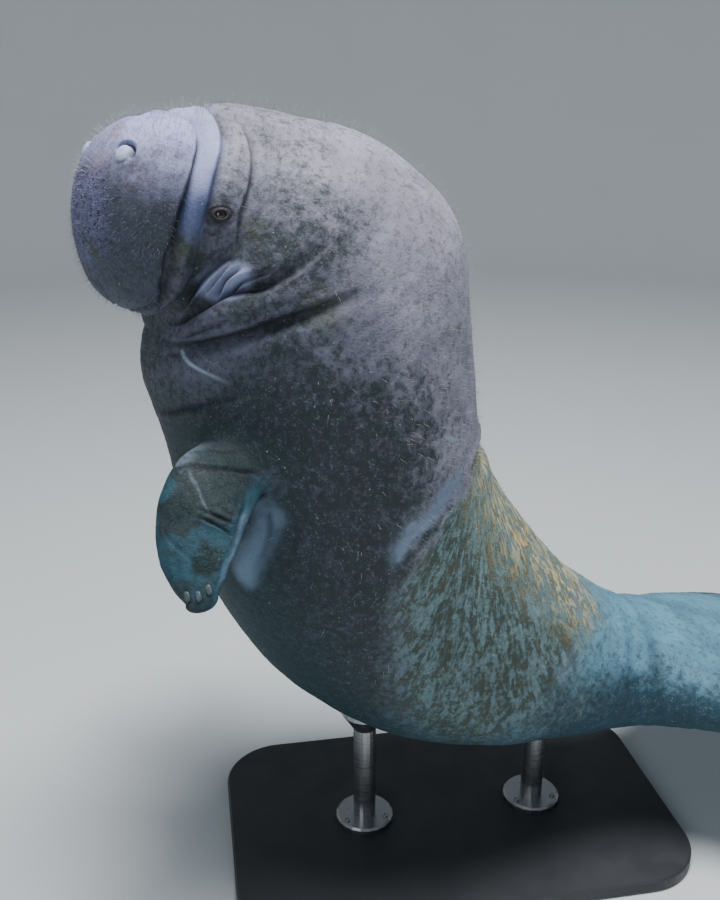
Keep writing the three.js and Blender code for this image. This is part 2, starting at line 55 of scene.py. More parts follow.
toward_camera = Vector((
    math.sin(VIEW_AZIMUTH) * math.cos(VIEW_ELEVATION),
    -math.cos(VIEW_AZIMUTH) * math.cos(VIEW_ELEVATION),
    math.sin(VIEW_ELEVATION),
))
camera = bpy.data.objects.new("camera", bpy.data.cameras.new("camera"))
camera.data.lens = LENS
camera.data.sensor_width = SENSOR
camera.location = VIEW_TARGET + toward_camera * VIEW_DISTANCE
camera.rotation_euler = toward_camera.to_track_quat("Z", "Y").to_euler()
bpy.context.scene.collection.objects.link(camera)
bpy.context.scene.camera = camera

# Trunk of the animal, from the muzzle to the end of the tail paddle: thick hide over blubber, in life one
# sheet without a seam. It is one lofted skin through sections along the spine, each with a point on the
# back, a point on the belly, a half breadth and a squareness, and the head's turn is put in afterwards.
STATIONS = [
    ("muzzle_front", (-0.592, 1.501), (-0.624, 1.198), 0.134, 2.1),
    ("muzzle_back", (-0.564, 1.507), (-0.609, 1.190), 0.140, 2.1),
    ("muzzle_groove", (-0.528, 1.508), (-0.590, 1.206), 0.138, 2.05),
    ("cheek", (-0.485, 1.509), (-0.580, 1.190), 0.147, 2.0),
    ("jaw", (-0.420, 1.507), (-0.578, 1.165), 0.168, 2.0),
    ("nape", (-0.318, 1.491), (-0.588, 1.125), 0.212, 2.0),
    ("neck", (-0.172, 1.448), (-0.590, 1.075), 0.255, 2.0),
    ("shoulder", (-0.040, 1.330), (-0.578, 1.010), 0.285, 2.0),
    ("chest", (-0.004, 1.165), (-0.560, 0.930), 0.300, 2.0),
    ("rib", (0.010, 1.010), (-0.540, 0.810), 0.305, 2.0),
    ("waist", (0.030, 0.890), (-0.500, 0.660), 0.305, 2.0),
    ("belly", (0.090, 0.778), (-0.428, 0.520), 0.300, 2.0),
    ("paunch", (0.165, 0.682), (-0.318, 0.400), 0.285, 2.0),
    ("loin", (0.232, 0.605), (-0.178, 0.309), 0.260, 2.0),
    ("hip", (0.288, 0.560), (-0.012, 0.256), 0.228, 2.0),
    ("rump", (0.330, 0.530), (0.158, 0.245), 0.198, 2.0),
    ("stock", (0.385, 0.500), (0.336, 0.248), 0.178, 2.0),
    ("tail_root", (0.470, 0.468), (0.445, 0.262), 0.216, 2.0),
    ("paddle_near", (0.570, 0.430), (0.558, 0.286), 0.278, 2.0),
    ("paddle_wide", (0.680, 0.392), (0.673, 0.302), 0.312, 2.0),
    ("paddle_mid", (0.790, 0.361), (0.785, 0.301), 0.318, 2.0),
    ("paddle_far", (0.890, 0.340), (0.887, 0.295), 0.288, 2.0),
    ("paddle_end", (0.975, 0.326), (0.973, 0.290), 0.224, 2.0),
    ("paddle_tip", (1.025, 0.314), (1.024, 0.288), 0.150, 2.0),
]
STATION = {name: k for k, (name, *_) in enumerate(STATIONS)}
STATION_ROWS = np.array([[*back, *belly, half, square] for _, back, belly, half, square in STATIONS])
LAST = len(STATIONS) - 1
HEAD_YAW = math.radians(26)
NECK_PIVOT_X = -0.300
MUZZLE_CAP = 0.088
PADDLE_CAP = 0.038
PADDLE_DROOP = 0.018
DROOP_STATIONS = 3
SKIN_INSET = 0.0006


def ease(x):
    x = np.clip(x, 0, 1)
    return x * x * (3 - 2 * x)


def bell(x):
    return np.exp(-np.square(x))


def between_rows(rows, t):
    """The rows of a table read anywhere between them, by a smooth curve through all."""
    last = len(rows) - 1
    i = np.clip(np.floor(t).astype(int), 0, last - 1)
    f = np.clip(t - i, 0, 1)[:, None]
    p1, p2 = rows[i], rows[i + 1]
    p0 = np.where((i > 0)[:, None], rows[np.maximum(i - 1, 0)], 2 * p1 - p2)
    p3 = np.where((i < last - 1)[:, None], rows[np.minimum(i + 2, last)], 2 * p2 - p1)
    m1, m2 = (p2 - p0) / 2, (p3 - p1) / 2
    return ((2 * f**3 - 3 * f**2 + 1) * p1 + (f**3 - 2 * f**2 + f) * m1
            + (-2 * f**3 + 3 * f**2) * p2 + (f**3 - f**2) * m2)


def turn_head(points, yaw):
    dx, y = points[:, 0] - NECK_PIVOT_X, points[:, 1]
    return np.stack([NECK_PIVOT_X + dx * np.cos(yaw) - y * np.sin(yaw),
                     dx * np.sin(yaw) + y * np.cos(yaw), points[:, 2]], 1)


def trunk_points(t, angle):
    """Points of the smooth trunk. t counts stations, from -1 at the tip of the muzzle to LAST + 1 at the
    paddle's end. The angle starts at the back and runs over the animal's left side."""
    rows = between_rows(STATION_ROWS, np.clip(t, 0, LAST))
    back, belly, half, square = rows[:, 0:2], rows[:, 2:4], rows[:, 4], rows[:, 5]
    span = back - belly
    depth = np.linalg.norm(span, axis=1) / 2
    up = span / (2 * depth)[:, None]
    front = np.clip(-t, 0, 1) * np.pi / 2
    rear = np.clip(t - LAST, 0, 1) * np.pi / 2
    shrink = np.cos(front) * np.cos(rear)
    push = np.sin(front) * MUZZLE_CAP - np.sin(rear) * PADDLE_CAP
    cosine, sine = np.cos(angle), np.sin(angle)
    rise = depth * shrink * np.sign(cosine) * np.abs(cosine) ** (2 / square)
    side = np.sign(sine) * np.abs(sine) ** (2 / square)
    droop = PADDLE_DROOP * ease((t - STATION["stock"]) / DROOP_STATIONS) * side**2
    x = (back + belly)[:, 0] / 2 + up[:, 0] * rise - up[:, 1] * push
    z = (back + belly)[:, 1] / 2 + up[:, 1] * rise + up[:, 0] * push - droop
    fade = ease((t - STATION["cheek"]) / (STATION["chest"] - STATION["cheek"]))
    return turn_head(np.stack([x, -half * shrink * side, z], 1), HEAD_YAW * (1 - fade))


def normals(points_at, along, angle, step, low, high, step_angle):
    """The way out of a lofted skin, from the points a step ahead, behind and round from each."""
    ahead = points_at(np.minimum(along + step, high), angle) - points_at(np.maximum(along - step, low), angle)
    round_step = points_at(along, angle + step_angle) - points_at(along, angle - step_angle)
    normal = np.cross(round_step, ahead)
    return normal / np.maximum(np.linalg.norm(normal, axis=1), 1e-12)[:, None]


def trunk_normals(t, angle):
    return normals(trunk_points, t, angle, 0.02, -0.99, LAST + 0.99, 0.01)


def graded(low, high, count, even, close):
    """Numbers from low to high, drawn closer together around some of them."""
    fine = np.linspace(low, high, 8001)
    density = np.interp(fine, *even)
    for centre, width, gain in close:
        density = density + gain * bell((fine - centre) / width)
    total = np.concatenate([[0], np.cumsum((density[1:] + density[:-1]) / 2)])
    return np.interp(np.linspace(0, total[-1], count), total, fine)


EYE = {"t": 2.78, "angle": 88.5, "radius": 0.010, "sunk": 0.0075}
NOSTRIL = {"t": -0.43, "angle": 41.0}
TRUNK_ROWS = 640
TRUNK_COLUMNS = 400
CAP_REACH = 0.985
row_density = ([-1, 3.5, 5, 7, 8, 16, 24], [16, 24, 44, 44, 26, 18, 16])
trunk_t = graded(-CAP_REACH, LAST + CAP_REACH, TRUNK_ROWS, row_density,
                 [(EYE["t"], 0.45, 46), (NOSTRIL["t"], 0.30, 34)])
trunk_angle = np.radians(graded(0, 360, TRUNK_COLUMNS + 1, ([0, 360], [1, 1]), [
    (centre if left else 360 - centre, width, gain) for left in (True, False)
    for centre, width, gain in ((EYE["angle"], 6, 2.2), (NOSTRIL["angle"], 7, 1.6))])[:-1])
grid_t, grid_angle = (a.ravel() for a in np.meshgrid(trunk_t, trunk_angle, indexing="ij"))
smooth = trunk_points(grid_t, grid_angle)
outward = trunk_normals(grid_t, grid_angle)

# Folds and swellings of the hide: where the head turns and the neck bends, the hide folds in deep creases
# with rolls between them. A fold is a line on the left side, mirrored to the right, of stations,
# degrees round from the back and strengths, with the widths of its two flanks, its depth and its roll.
FOLDS = {
    "behind_muzzle": ((0.0032, 0.013), 0.0140, 0.0025, [
        (1.25, 0, 0.8), (1.47, 17, 0.9), (1.9, 27, 1), (1.97, 40, 1), (1.71, 54, 1), (0.95, 72, 1), (0.31, 87, 1),
        (-0.02, 104, 1), (-0.04, 120, 1), (0.0, 132, 0.9), (0.3, 142, 0.6), (0.9, 156, 0)]),
    "jaw": ((0.0040, 0.014), 0.0155, 0.0015, [
        (3.75, 168, 0.4), (3.95, 150, 1), (4.1, 138, 1), (4.66, 119, 1), (5.1, 110, 1), (5.57, 102, 1),
        (5.81, 92, 0.55), (5.93, 81, 0.25), (6.0, 72, 0)]),
    "jowl": ((0.016, 0.0050), 0.0175, 0.0020, [
        (4.52, 169, 0.4), (5.08, 148, 1), (5.69, 129, 1), (6.03, 116, 1), (6.25, 105, 1), (6.47, 93, 0.75),
        (6.65, 81, 0.3), (6.75, 74, 0)]),
    "jowl_roll": ((0.015, 0.015), -0.0075, 0, [
        (4.25, 158, 0.6), (4.55, 144, 1), (5.15, 123, 1), (5.7, 109, 1), (6.05, 97, 0.6), (6.3, 86, 0)]),
    "cheek": ((0.0030, 0.007), 0.0060, 0.0014, [
        (3.6, 34, 0), (3.72, 43, 0.8), (3.82, 60, 1), (3.8, 75, 1), (3.72, 87, 0.8), (4.2, 104, 0.3), (4.35, 110, 0)]),
    "brow": ((0.0040, 0.010), 0.0060, 0.0012, [
        (3.0, 0, 0.8), (2.95, 32, 1), (2.89, 44, 1), (2.74, 55, 1), (2.50, 65, 1), (2.27, 76, 1), (2.10, 88, 0.7),
        (2.0, 100, 0)]),
    "mouth_corner": ((0.0034, 0.010), 0.0105, 0.0025, [
        (3.12, 156, 0.4), (2.85, 140, 1), (2.96, 125, 1), (3.52, 112, 0.8), (3.86, 107, 0.4), (4.0, 104, 0)]),
    "pucker_front": ((0.0024, 0.0045), 0.0085, 0.0030, [
        (4.1, 127, 0), (4.26, 121, 1), (4.34, 113, 1), (4.54, 107, 0.6), (4.7, 103, 0)]),
    "pucker_rear": ((0.0024, 0.0045), 0.0085, 0.0030, [
        (4.6, 121, 0.3), (4.74, 117, 1), (4.92, 108, 1), (5.34, 98, 0.5), (5.5, 95, 0)]),
    "pucker_low": ((0.0020, 0.0040), 0.0050, 0.0020, [(3.6, 133, 0), (3.75, 124, 1), (3.95, 114, 0.8), (4.2, 106, 0)]),
    "jowl_crease": ((0.0030, 0.006), 0.0035, 0.0010, [(4.9, 150, 0), (5.0, 138, 1), (5.35, 124, 1), (5.75, 111, 0)]),
    "back_overlap": ((0.0060, 0.030), 0.0140, 0.0045, [(9.6, 0, 1), (9.6, 22, 1), (9.72, 40, 0)]),
    "back_crease": ((0.005, 0.014), 0.006, 0.002, [(9.85, 0, 1), (9.87, 20, 0.8), (10.0, 36, 0)]),
    "chest_line": ((0.005, 0.014), 0.004, 0.001, [(7.1, 170, 0), (7.0, 150, 1), (7.05, 130, 1), (7.2, 112, 0)]),
    "armpit_upper": ((0.004, 0.008), 0.005, 0.0015, [(8.45, 120, 0), (8.72, 118, 1), (9.2, 121, 1), (9.6, 132, 0)]),
    "armpit_lower": ((0.004, 0.008), 0.003, 0.001, [(8.8, 110, 0), (9.2, 110, 1), (9.8, 119, 0)]),
    "stock_ring": ((0.010, 0.020), 0.0035, 0.001, [(16.1, 0, 0.5), (16.1, 60, 1), (16.2, 110, 0)]),
    "stock_ring_low": ((0.008, 0.016), 0.0025, 0.001, [(15.3, 20, 0), (15.4, 60, 1), (15.5, 100, 0)]),
}
# A swelling is a place by station and degrees on the left side, mirrored to the right, a spread and a height.
SWELLINGS = [
    ("lip_pad", -0.30, 148, 0.048, 0.004),
    ("nose_pad", -0.35, 40, 0.032, 0.005),
    ("cheek_pad", 3.4, 124, 0.050, 0.004),
    ("band_pad", 1.3, 80, 0.028, 0.003),
    ("disk_pad", -0.95, 90, 0.080, 0.003),
    ("brow_pad", 2.9, 60, 0.030, 0.002),
    ("throat", 6.1, 180, 0.060, 0.003),
]
CROWN = {"drop": 0.0090, "end": 4.5, "run": 3.0, "low": 1.40, "high": 1.475}
CROWN_BUMP = {"t": 3.95, "height": 0.002, "stretch": [1, 2.5, 1], "spread": 0.020}
CLEFT = {"width": 0.012, "depth": 0.008, "from": -0.5, "to": -0.05, "reach": 1}
FOLD_REACH = 4
FOLD_SUBSTEPS = 5
ROLL_AWAY = 2.2


def finer_line(line):
    """The rows of a line with more rows between them, on a smooth curve through all."""
    line = np.array(line, float)
    return between_rows(line, np.linspace(0, len(line) - 1, (len(line) - 1) * FOLD_SUBSTEPS + 1))


def along_line(line, mirror):
    """A fold's line on one side as points on the trunk, and how strong the fold is at each."""
    t, angle, strength = finer_line(line).T
    return trunk_points(t, np.radians(360 - angle if mirror else angle)), strength


def near_place(t, angle, radius, stretch=1):
    """How near each trunk point is to a place on it, from 1 there to nothing past the radius."""
    place = trunk_points(np.array([t]), np.radians([angle]))
    return bell(np.linalg.norm((smooth - place) / stretch, axis=1) / radius)


def near_lines(points, lines, reach):
    """For each point the distance to the nearest of some lines, the line's strength there, the way from
    the line to the point, the line's run and which line it is. Points past the reach stay at an endless distance."""
    distance = np.full(len(points), np.inf)
    strength = np.zeros(len(points))
    across = np.zeros((len(points), 3))
    run = np.zeros((len(points), 3))
    which = np.zeros(len(points), int)
    for k, (corners, strengths) in enumerate(lines):
        for a, b, sa, sb in zip(corners[:-1], corners[1:], strengths[:-1], strengths[1:]):
            inside = np.all((points > np.minimum(a, b) - reach) & (points < np.maximum(a, b) + reach), axis=1)
            index = np.nonzero(inside)[0]
            p = points[index]
            f = np.clip((p - a) @ (b - a) / max(np.dot(b - a, b - a), 1e-12), 0, 1)
            away = p - (a + f[:, None] * (b - a))
            d = np.linalg.norm(away, axis=1)
            closer = d < distance[index]
            index, f, d, away = index[closer], f[closer], d[closer], away[closer]
            distance[index], strength[index], across[index] = d, sa + f * (sb - sa), away
            run[index] = (b - a) / max(np.linalg.norm(b - a), 1e-9)
            which[index] = k
    return distance, strength, across, run, which


lift = np.full(len(smooth), -SKIN_INSET)
crease = np.zeros(len(smooth))
degrees = np.degrees(np.pi - np.abs(grid_angle - np.pi))
throat = 1 - 0.75 * ease((degrees - 138) / 22) * ease((grid_t + 0.2) / 0.8) * ease((6.2 - grid_t) / 1.2)
for (front_width, rear_width), depth, roll, line in FOLDS.values():
    both = [along_line(line, mirror) for mirror in (False, True)]
    distance, strength, across, run, which = near_lines(smooth, both, max(front_width, rear_width) * FOLD_REACH)
    hit = np.isfinite(distance)
    ahead = np.einsum("ij,ij->i", np.cross(run[hit], outward[hit]), across[hit]) * np.where(which[hit], -1, 1)
    d = distance[hit] / np.where(ahead > 0, front_width, rear_width)
    lift[hit] += throat[hit] * strength[hit] * (roll * bell(d - ROLL_AWAY) - depth * bell(d))
    crease[hit] = np.maximum(crease[hit], strength[hit] * bell(distance[hit] / min(front_width, rear_width) * 0.8)
                             * min(1, depth / 0.008))

for _, t, angle, spread, height in SWELLINGS:
    lift += height * (near_place(t, angle, spread) + near_place(t, 360 - angle, spread))
crown = ease((CROWN["end"] - grid_t) / CROWN["run"])
lift -= CROWN["drop"] * crown * ease((smooth[:, 2] - CROWN["low"]) / (CROWN["high"] - CROWN["low"]))
lift += CROWN_BUMP["height"] * near_place(CROWN_BUMP["t"], 0, CROWN_BUMP["spread"], CROWN_BUMP["stretch"])
cleft_line = trunk_points(np.linspace(CLEFT["from"], CLEFT["to"], FOLD_SUBSTEPS), np.full(FOLD_SUBSTEPS, np.pi))
distance = near_lines(smooth, [(cleft_line, np.ones(FOLD_SUBSTEPS))], CLEFT["width"] * FOLD_REACH)[0]
distance[grid_t > CLEFT["reach"]] = np.inf
lift -= CLEFT["depth"] * bell(distance / CLEFT["width"])
crease = np.maximum(crease, 0.7 * bell(distance / CLEFT["width"] * 1.5))

# Mouth: the lower lip meets the upper along a line that rises to the corner, seen here in the straight
# head's own side view. The lips are soft pads, so the line is a groove with a low roll on each side.
MOUTH_FRONT = np.array([-0.650, 1.212])
MOUTH_CORNER = np.array([-0.572, 1.250])
MOUTH_ARCH = 0.006
MOUTH_WIDTH = 0.0030
MOUTH_DEPTH = 0.0060
MOUTH_ROLL = 0.0012
MOUTH_FADE = 0.040
MOUTH_DROP = 0.010
straight = turn_head(smooth, -HEAD_YAW)
run = MOUTH_CORNER - MOUTH_FRONT
along = (straight[:, 0] - MOUTH_FRONT[0]) / run[0]
line_height = MOUTH_FRONT[1] - MOUTH_DROP + along * run[1] + MOUTH_ARCH * np.sin(np.pi * np.clip(along, 0, 1))
distance = np.abs(straight[:, 2] - line_height)
window = ease((1 - along) * run[0] / MOUTH_FADE) * (grid_t < 2) * ease((-np.cos(grid_angle) - 0.75) / 0.15)
lift += window * (MOUTH_ROLL * bell(distance / MOUTH_WIDTH - ROLL_AWAY) - MOUTH_DEPTH * bell(distance / MOUTH_WIDTH))
crease = np.maximum(crease, window * bell(distance / MOUTH_WIDTH))


# Nostrils: each is shut under water by a round fleshy plug, with a crescent slit above and behind it.
# They and the eyelids are shaped in a small flat frame on the hide: fore and aft, up, and outward.
def surface_frame(place, side):
    t, angle = np.array([place["t"]]), np.radians([side * place["angle"]])
    out = trunk_normals(t, angle)[0]
    up = np.array([0, 0, 1]) - out * out[2]
    up /= np.linalg.norm(up)
    return trunk_points(t, angle)[0], np.cross(up, out), up, out


def local(frame_at, points):
    at, fore, up, out = frame_at
    away = points - at
    return away @ fore, away @ up, away @ out


PLUG_RADIUS = 0.0140
PLUG_HEIGHT = 0.0048
SLIT = {"radius": 0.0165, "width": 0.0030, "depth": 0.012, "middle": 62, "half_arc": 92}
RIM = {"radius": SLIT["radius"] * 1.32, "width": 0.0035, "height": 0.0024, "least": 0.35}
NOSTRIL_REACH = 0.040
PAINT_EDGE = 0.003
plug_mask = np.zeros(len(smooth))
slit_mask = np.zeros(len(smooth))
for side in (1, -1):
    fore, up, out = local(surface_frame(NOSTRIL, side), smooth)
    radius = np.hypot(fore, up)
    near = (radius < NOSTRIL_REACH) & (np.abs(out) < NOSTRIL_REACH)
    around = np.degrees(np.arctan2(up, fore * side))
    turn = np.abs((around - SLIT["middle"] + 180) % 360 - 180) / SLIT["half_arc"]
    window = 1 - ease((turn - 0.75) / 0.35)
    dome = np.sqrt(np.clip(1 - (radius / PLUG_RADIUS) ** 2, 0, 1))
    groove = bell((radius - SLIT["radius"]) / SLIT["width"]) * window
    rim = RIM["height"] * bell((radius - RIM["radius"]) / RIM["width"]) * (RIM["least"] + (1 - RIM["least"]) * window)
    lift += near * (PLUG_HEIGHT * dome - SLIT["depth"] * groove + rim)
    plug_mask = np.maximum(plug_mask, near * ease((PLUG_RADIUS * 1.08 - radius) / PAINT_EDGE))
    slit_mask = np.maximum(slit_mask, near * groove)

# Eyelids: a manatee shuts its small eye with a ring of muscle, so two thick lids stand round it like a
# purse's mouth, with a shallow groove round each. The eyeball is set deep between them. Lids and grooves are
# given by how far out they run, their width and their height or depth.
LID_SQUEEZE = 0.66
LID_EDGE = 0.0088
LIDS = [(0.0110, 0.0036, 0.0026), (0.0200, 0.0050, 0.0006)]
LID_GROOVES = [(0.0158, 0.0026, 0.0008), (0.0255, 0.0040, 0.0006)]
SOCKET_SLOPE = 2.6
SOCKET_DEPTH = 0.0085
EYE_REACH = 0.050
LID_PAINT = (0.014, 0.009)
socket_shade = np.zeros(len(smooth))
lid_mask = np.zeros(len(smooth))
for side in (1, -1):
    fore, up, out = local(surface_frame(EYE, side), smooth)
    radius = np.hypot(fore, up / LID_SQUEEZE)
    near = (radius < EYE_REACH) & (np.abs(out) < EYE_REACH)
    form = sum(height * bell((radius - at) / width) for at, width, height in LIDS)
    form -= sum(depth * bell((radius - at) / width) for at, width, depth in LID_GROOVES)
    form -= np.clip((LID_EDGE - radius) * SOCKET_SLOPE, 0, SOCKET_DEPTH)
    lift += near * form
    # The socket and a ring over the lids are marked for painted shade.
    socket_shade = np.maximum(socket_shade, near * ease((LID_EDGE + 0.002 - radius) / PAINT_EDGE))
    lid_mask = np.maximum(lid_mask, near * bell((radius - LID_PAINT[0]) / LID_PAINT[1]))


# Slack and wrinkles: the hide is never smooth, and lies in soft hollows and in fine wrinkles that run
# round the trunk. They are kept off the bare band behind the muzzle and off the eyelids.
def lattice_noise(points, cell, seed):
    """Smooth noise from -1 to 1 that repeats on every run, from numbers set on a cubic lattice."""
    q = points / cell + 1000.0
    i = np.floor(q).astype(np.int64)
    f = q - i
    f = f * f * (3 - 2 * f)
    total = np.zeros(len(points))
    for corner in range(8):
        bits = np.array([corner & 1, corner >> 1 & 1, corner >> 2 & 1])
        n = (i + bits) @ np.array([73856093, 19349663, 83492791]) + seed * 2654435761
        n = (n ^ (n >> 13)) * 1274126177
        value = ((n ^ (n >> 16)) & 0xFFFF) / 0x7FFF - 1.0
        total += value * np.prod(np.where(bits, f, 1 - f), axis=1)
    return total


def waves(points, *sizes):
    """Noises of several sizes together, each with its height, cell and seed."""
    return sum(height * lattice_noise(points, cell, seed) for height, cell, seed in sizes)


def past(*line):
    """How many stations each trunk point lies past a line given as (station, degrees round, ...)."""
    station, way_round = list(zip(*(row[:2] for row in line)))
    return grid_t - np.interp(degrees, way_round, station)


TRUNK_HALF = 0.3
arc = np.concatenate([[0], np.cumsum(np.linalg.norm(np.diff(
    trunk_points(trunk_t, np.full(len(trunk_t), np.pi / 2)), axis=0), axis=1))])
along = np.repeat(arc, TRUNK_COLUMNS)
round_way = np.stack([along, np.cos(grid_angle) * TRUNK_HALF, np.sin(grid_angle) * TRUNK_HALF], 1)
calm = 1 - 0.9 * np.maximum(lid_mask, np.maximum(plug_mask, slit_mask))
past_muzzle = past(*FOLDS["behind_muzzle"][-1], (1.2, 180))
bare_band = ease((past_muzzle + 0.02) / 0.12) * (1 - ease((past_muzzle - 0.9) / 0.5)) * (grid_t < 3.4)
muzzle_mask = 1 - ease((past_muzzle + 0.25) / 0.25)
slack = waves(smooth, (0.0030, 0.16, 1), (0.0016, 0.075, 2)) * ease((grid_t + 0.6) / 1.6)
wrinkle = waves(round_way / [0.40, 1, 1], (0.0005, 0.030, 3), (0.0004, 0.016, 4)) + waves(smooth, (0.0005, 0.014, 6))
wrinkle *= ease((grid_t - 0.5) / 2) * (1 - 0.8 * bare_band)
muzzle_wrinkle = waves(smooth, (0.0006, 0.011, 5)) * muzzle_mask * ease((grid_t + 0.985) / 0.5)
lift += calm * (slack + wrinkle + muzzle_wrinkle)

hide_points = smooth + outward * lift[:, None]


# Flippers: short paddle-shaped limbs, bent at the wrist. Each grows out of the chest, so its hide runs on
# into the trunk's, and creases cross it at the elbow and the wrist.
FLIPPER = [
    ((-0.425, -0.160, 0.945), 0.060, 0.040, (0.4, -0.2, 0.85)),
    ((-0.458, -0.255, 0.952), 0.066, 0.038, (0.3, -0.5, 0.75)),
    ((-0.497, -0.322, 0.932), 0.069, 0.033, (0.0, -0.9, 0.4)),
    ((-0.511, -0.356, 0.898), 0.066, 0.026, (-0.1, -1.0, 0.15)),
    ((-0.518, -0.385, 0.866), 0.055, 0.020, (-0.1, -1.0, 0.1)),
    ((-0.517, -0.408, 0.838), 0.042, 0.015, (-0.1, -1.0, 0.1)),
    ((-0.513, -0.424, 0.819), 0.027, 0.011, (-0.1, -1.0, 0.1)),
]
FLIPPER_TIP = 0.018
FLIPPER_ROWS = 150
FLIPPER_COLUMNS = 112
FLIPPER_PLACES = np.array([[*at, half, thick, *face] for at, half, thick, face in FLIPPER])
# Creases across a flipper: widths and depth, and a line of shares of its length, degrees round it from the
# rear edge over the outer face, and strengths. A depth below nothing is a raised scar.
FLIPPER_FOLDS = {
    "wrist": (0.0024, 0.0036, [(0.40, 98, 0), (0.415, 76, 1), (0.43, 56, 1), (0.45, 38, 0)]),
    "wrist_outer": (0.0020, 0.0030, [(0.435, 96, 0), (0.455, 78, 1), (0.49, 52, 1), (0.53, 34, 0)]),
    "wrist_inner": (0.0018, 0.0024, [(0.365, 78, 0), (0.385, 58, 1), (0.40, 44, 0)]),
    "rear_edge": (0.0034, 0.0020, [(0.24, 46, 0), (0.32, 38, 1), (0.45, 31, 1), (0.62, 25, 0.8), (0.8, 22, 0)]),
    "shin": (0.0024, 0.0014, [(0.50, 150, 0), (0.58, 128, 1), (0.66, 100, 0.6), (0.70, 84, 0)]),
    "scar": (0.0021, -0.0010, [
        (0.29, 138, 0), (0.31, 128, 0.22), (0.345, 105, 0.24), (0.395, 86, 0.15), (0.42, 76, 0)]),
}
FLIPPER_SWELLINGS = [(0.20, 0.13, 155, 48, 0.0095), (0.88, 0.15, 168, 42, -0.0050), (0.35, 0.10, 20, 30, 0.002)]
FINGERS = (48, 78, 108, 134)
FINGER_HEIGHT = 0.0014
FINGER_WIDTH = 9
FLIPPER_ROLL = 0.25
FLIPPER_INSET = 0.0008


def flipper_frame(u, side):
    """Where a flipper's centre line is at a share of its length, and its own axes and sizes there."""
    mirror = np.array([1, side, 1, 1, 1, 1, side, 1])
    places = FLIPPER_PLACES * mirror
    last = len(places) - 1
    rows = between_rows(places, u * last)
    step = 0.002
    along = between_rows(places, np.minimum(u + step, 1) * last)[:, :3]
    along = along - between_rows(places, (np.minimum(u + step, 1) - 2 * step) * last)[:, :3]
    along /= np.linalg.norm(along, axis=1)[:, None]
    across = np.cross(rows[:, 5:8], along)
    across /= np.linalg.norm(across, axis=1)[:, None]
    return rows[:, :3], along, across, np.cross(along, across), rows[:, 3], rows[:, 4]


def flipper_points(u, angle, side):
    """Points of one flipper: u runs from the root to 1 and on to 2 round the tip, and the angle starts at
    one edge and runs over the upper face."""
    centre, along, across, out, half, thick = flipper_frame(np.clip(u, 0, 1), side)
    cap = np.clip(u - 1, 0, 1) * np.pi / 2
    shrink = np.cos(cap)
    section = half * shrink * np.cos(angle)
    rise = thick * shrink * np.sin(angle)
    push = FLIPPER_TIP * np.sin(cap)
    return centre + along * push[:, None] + across * section[:, None] + out * rise[:, None]


def line_marks(points, out, corners, strengths, reach):
    """How far points lie to the one or the other side of a line, as a share of the reach, and its strength."""
    distance, strength, across, run, _ = near_lines(points, [(corners, strengths)], reach)
    hit = np.isfinite(distance)
    side_of = np.ones(len(points))
    side_of[hit] = np.einsum("ij,ij->i", np.cross(run, out), across)[hit] / reach
    return side_of.clip(-1, 1), np.where(hit, strength, 0)


flipper_u = np.concatenate([np.linspace(0, 1, FLIPPER_ROWS), 1 + np.linspace(0.1, CAP_REACH, 14)])
flipper_angle = np.arange(FLIPPER_COLUMNS) * 2 * np.pi / FLIPPER_COLUMNS
limb_u, limb_angle = (a.ravel() for a in np.meshgrid(flipper_u, flipper_angle, indexing="ij"))
limb_degrees = np.degrees(limb_angle)
flipper_shapes = {}
flipper_creases = np.zeros(len(limb_u))
for side in (1, -1):
    points = flipper_points(limb_u, limb_angle, side)
    normal = normals(lambda u, angle: flipper_points(u, angle, side), limb_u, limb_angle, 0.004, 0, 1.99, 0.02)
    centre = flipper_frame(np.clip(limb_u, 0, 1), side)[0]
    normal *= np.sign(np.einsum("ij,ij->i", normal, points - centre))[:, None]
    rise = np.full(len(limb_u), -FLIPPER_INSET)
    for width, depth, line in FLIPPER_FOLDS.values():
        line = finer_line(line)
        corners = flipper_points(line[:, 0], np.radians(line[:, 1]), side)
        distance, strength, *_ = near_lines(points, [(corners, line[:, 2])], width * FOLD_REACH)
        rise += strength * depth * (FLIPPER_ROLL * bell(distance / width - ROLL_AWAY) - bell(distance / width))
        if depth > 0:
            flipper_creases = np.maximum(flipper_creases, strength * bell(distance / width) * min(1, depth / 0.005))
        else:
            flipper_scar_side, flipper_scars = line_marks(points, normal, corners, line[:, 2], width * FOLD_REACH)
    for at, reach, middle, arc_reach, height in FLIPPER_SWELLINGS:
        rise += height * bell((limb_u - at) / reach) * bell((limb_degrees - middle) / arc_reach)
    fingers = ease((limb_u - 0.45) / 0.25) * ease((1.25 - limb_u) / 0.3)
    for finger in FINGERS:
        rise += FINGER_HEIGHT * bell((limb_degrees - finger) / FINGER_WIDTH) * fingers
    rise += waves(points * [1, side, 1], (0.0010, 0.028, 11), (0.0006, 0.010, 12))
    flipper_shapes[side] = points + normal * rise[:, None]


# Markings of the hide, as strengths from 0 to 1 over its points. The skin is lavender grey, darkened by a
# brown film on the cheeks, neck and chest, and streaked with algae from the waist to the loin. Painted shade
# darkens the sides, the underside and the lower head, as under light from above, and the eyes' lids and sockets.
heights = smooth[:, 2]
wander = waves(smooth, (0.30, 0.050, 21), (0.20, 0.017, 22))


def from_line(*line):
    """How far each trunk point is from a line of (station, degrees round), on its nearer side."""
    corners = [(t, angle, 1) for t, angle in line]
    return near_lines(smooth, [along_line(corners, mirror) for mirror in (False, True)], 0.12)[0]


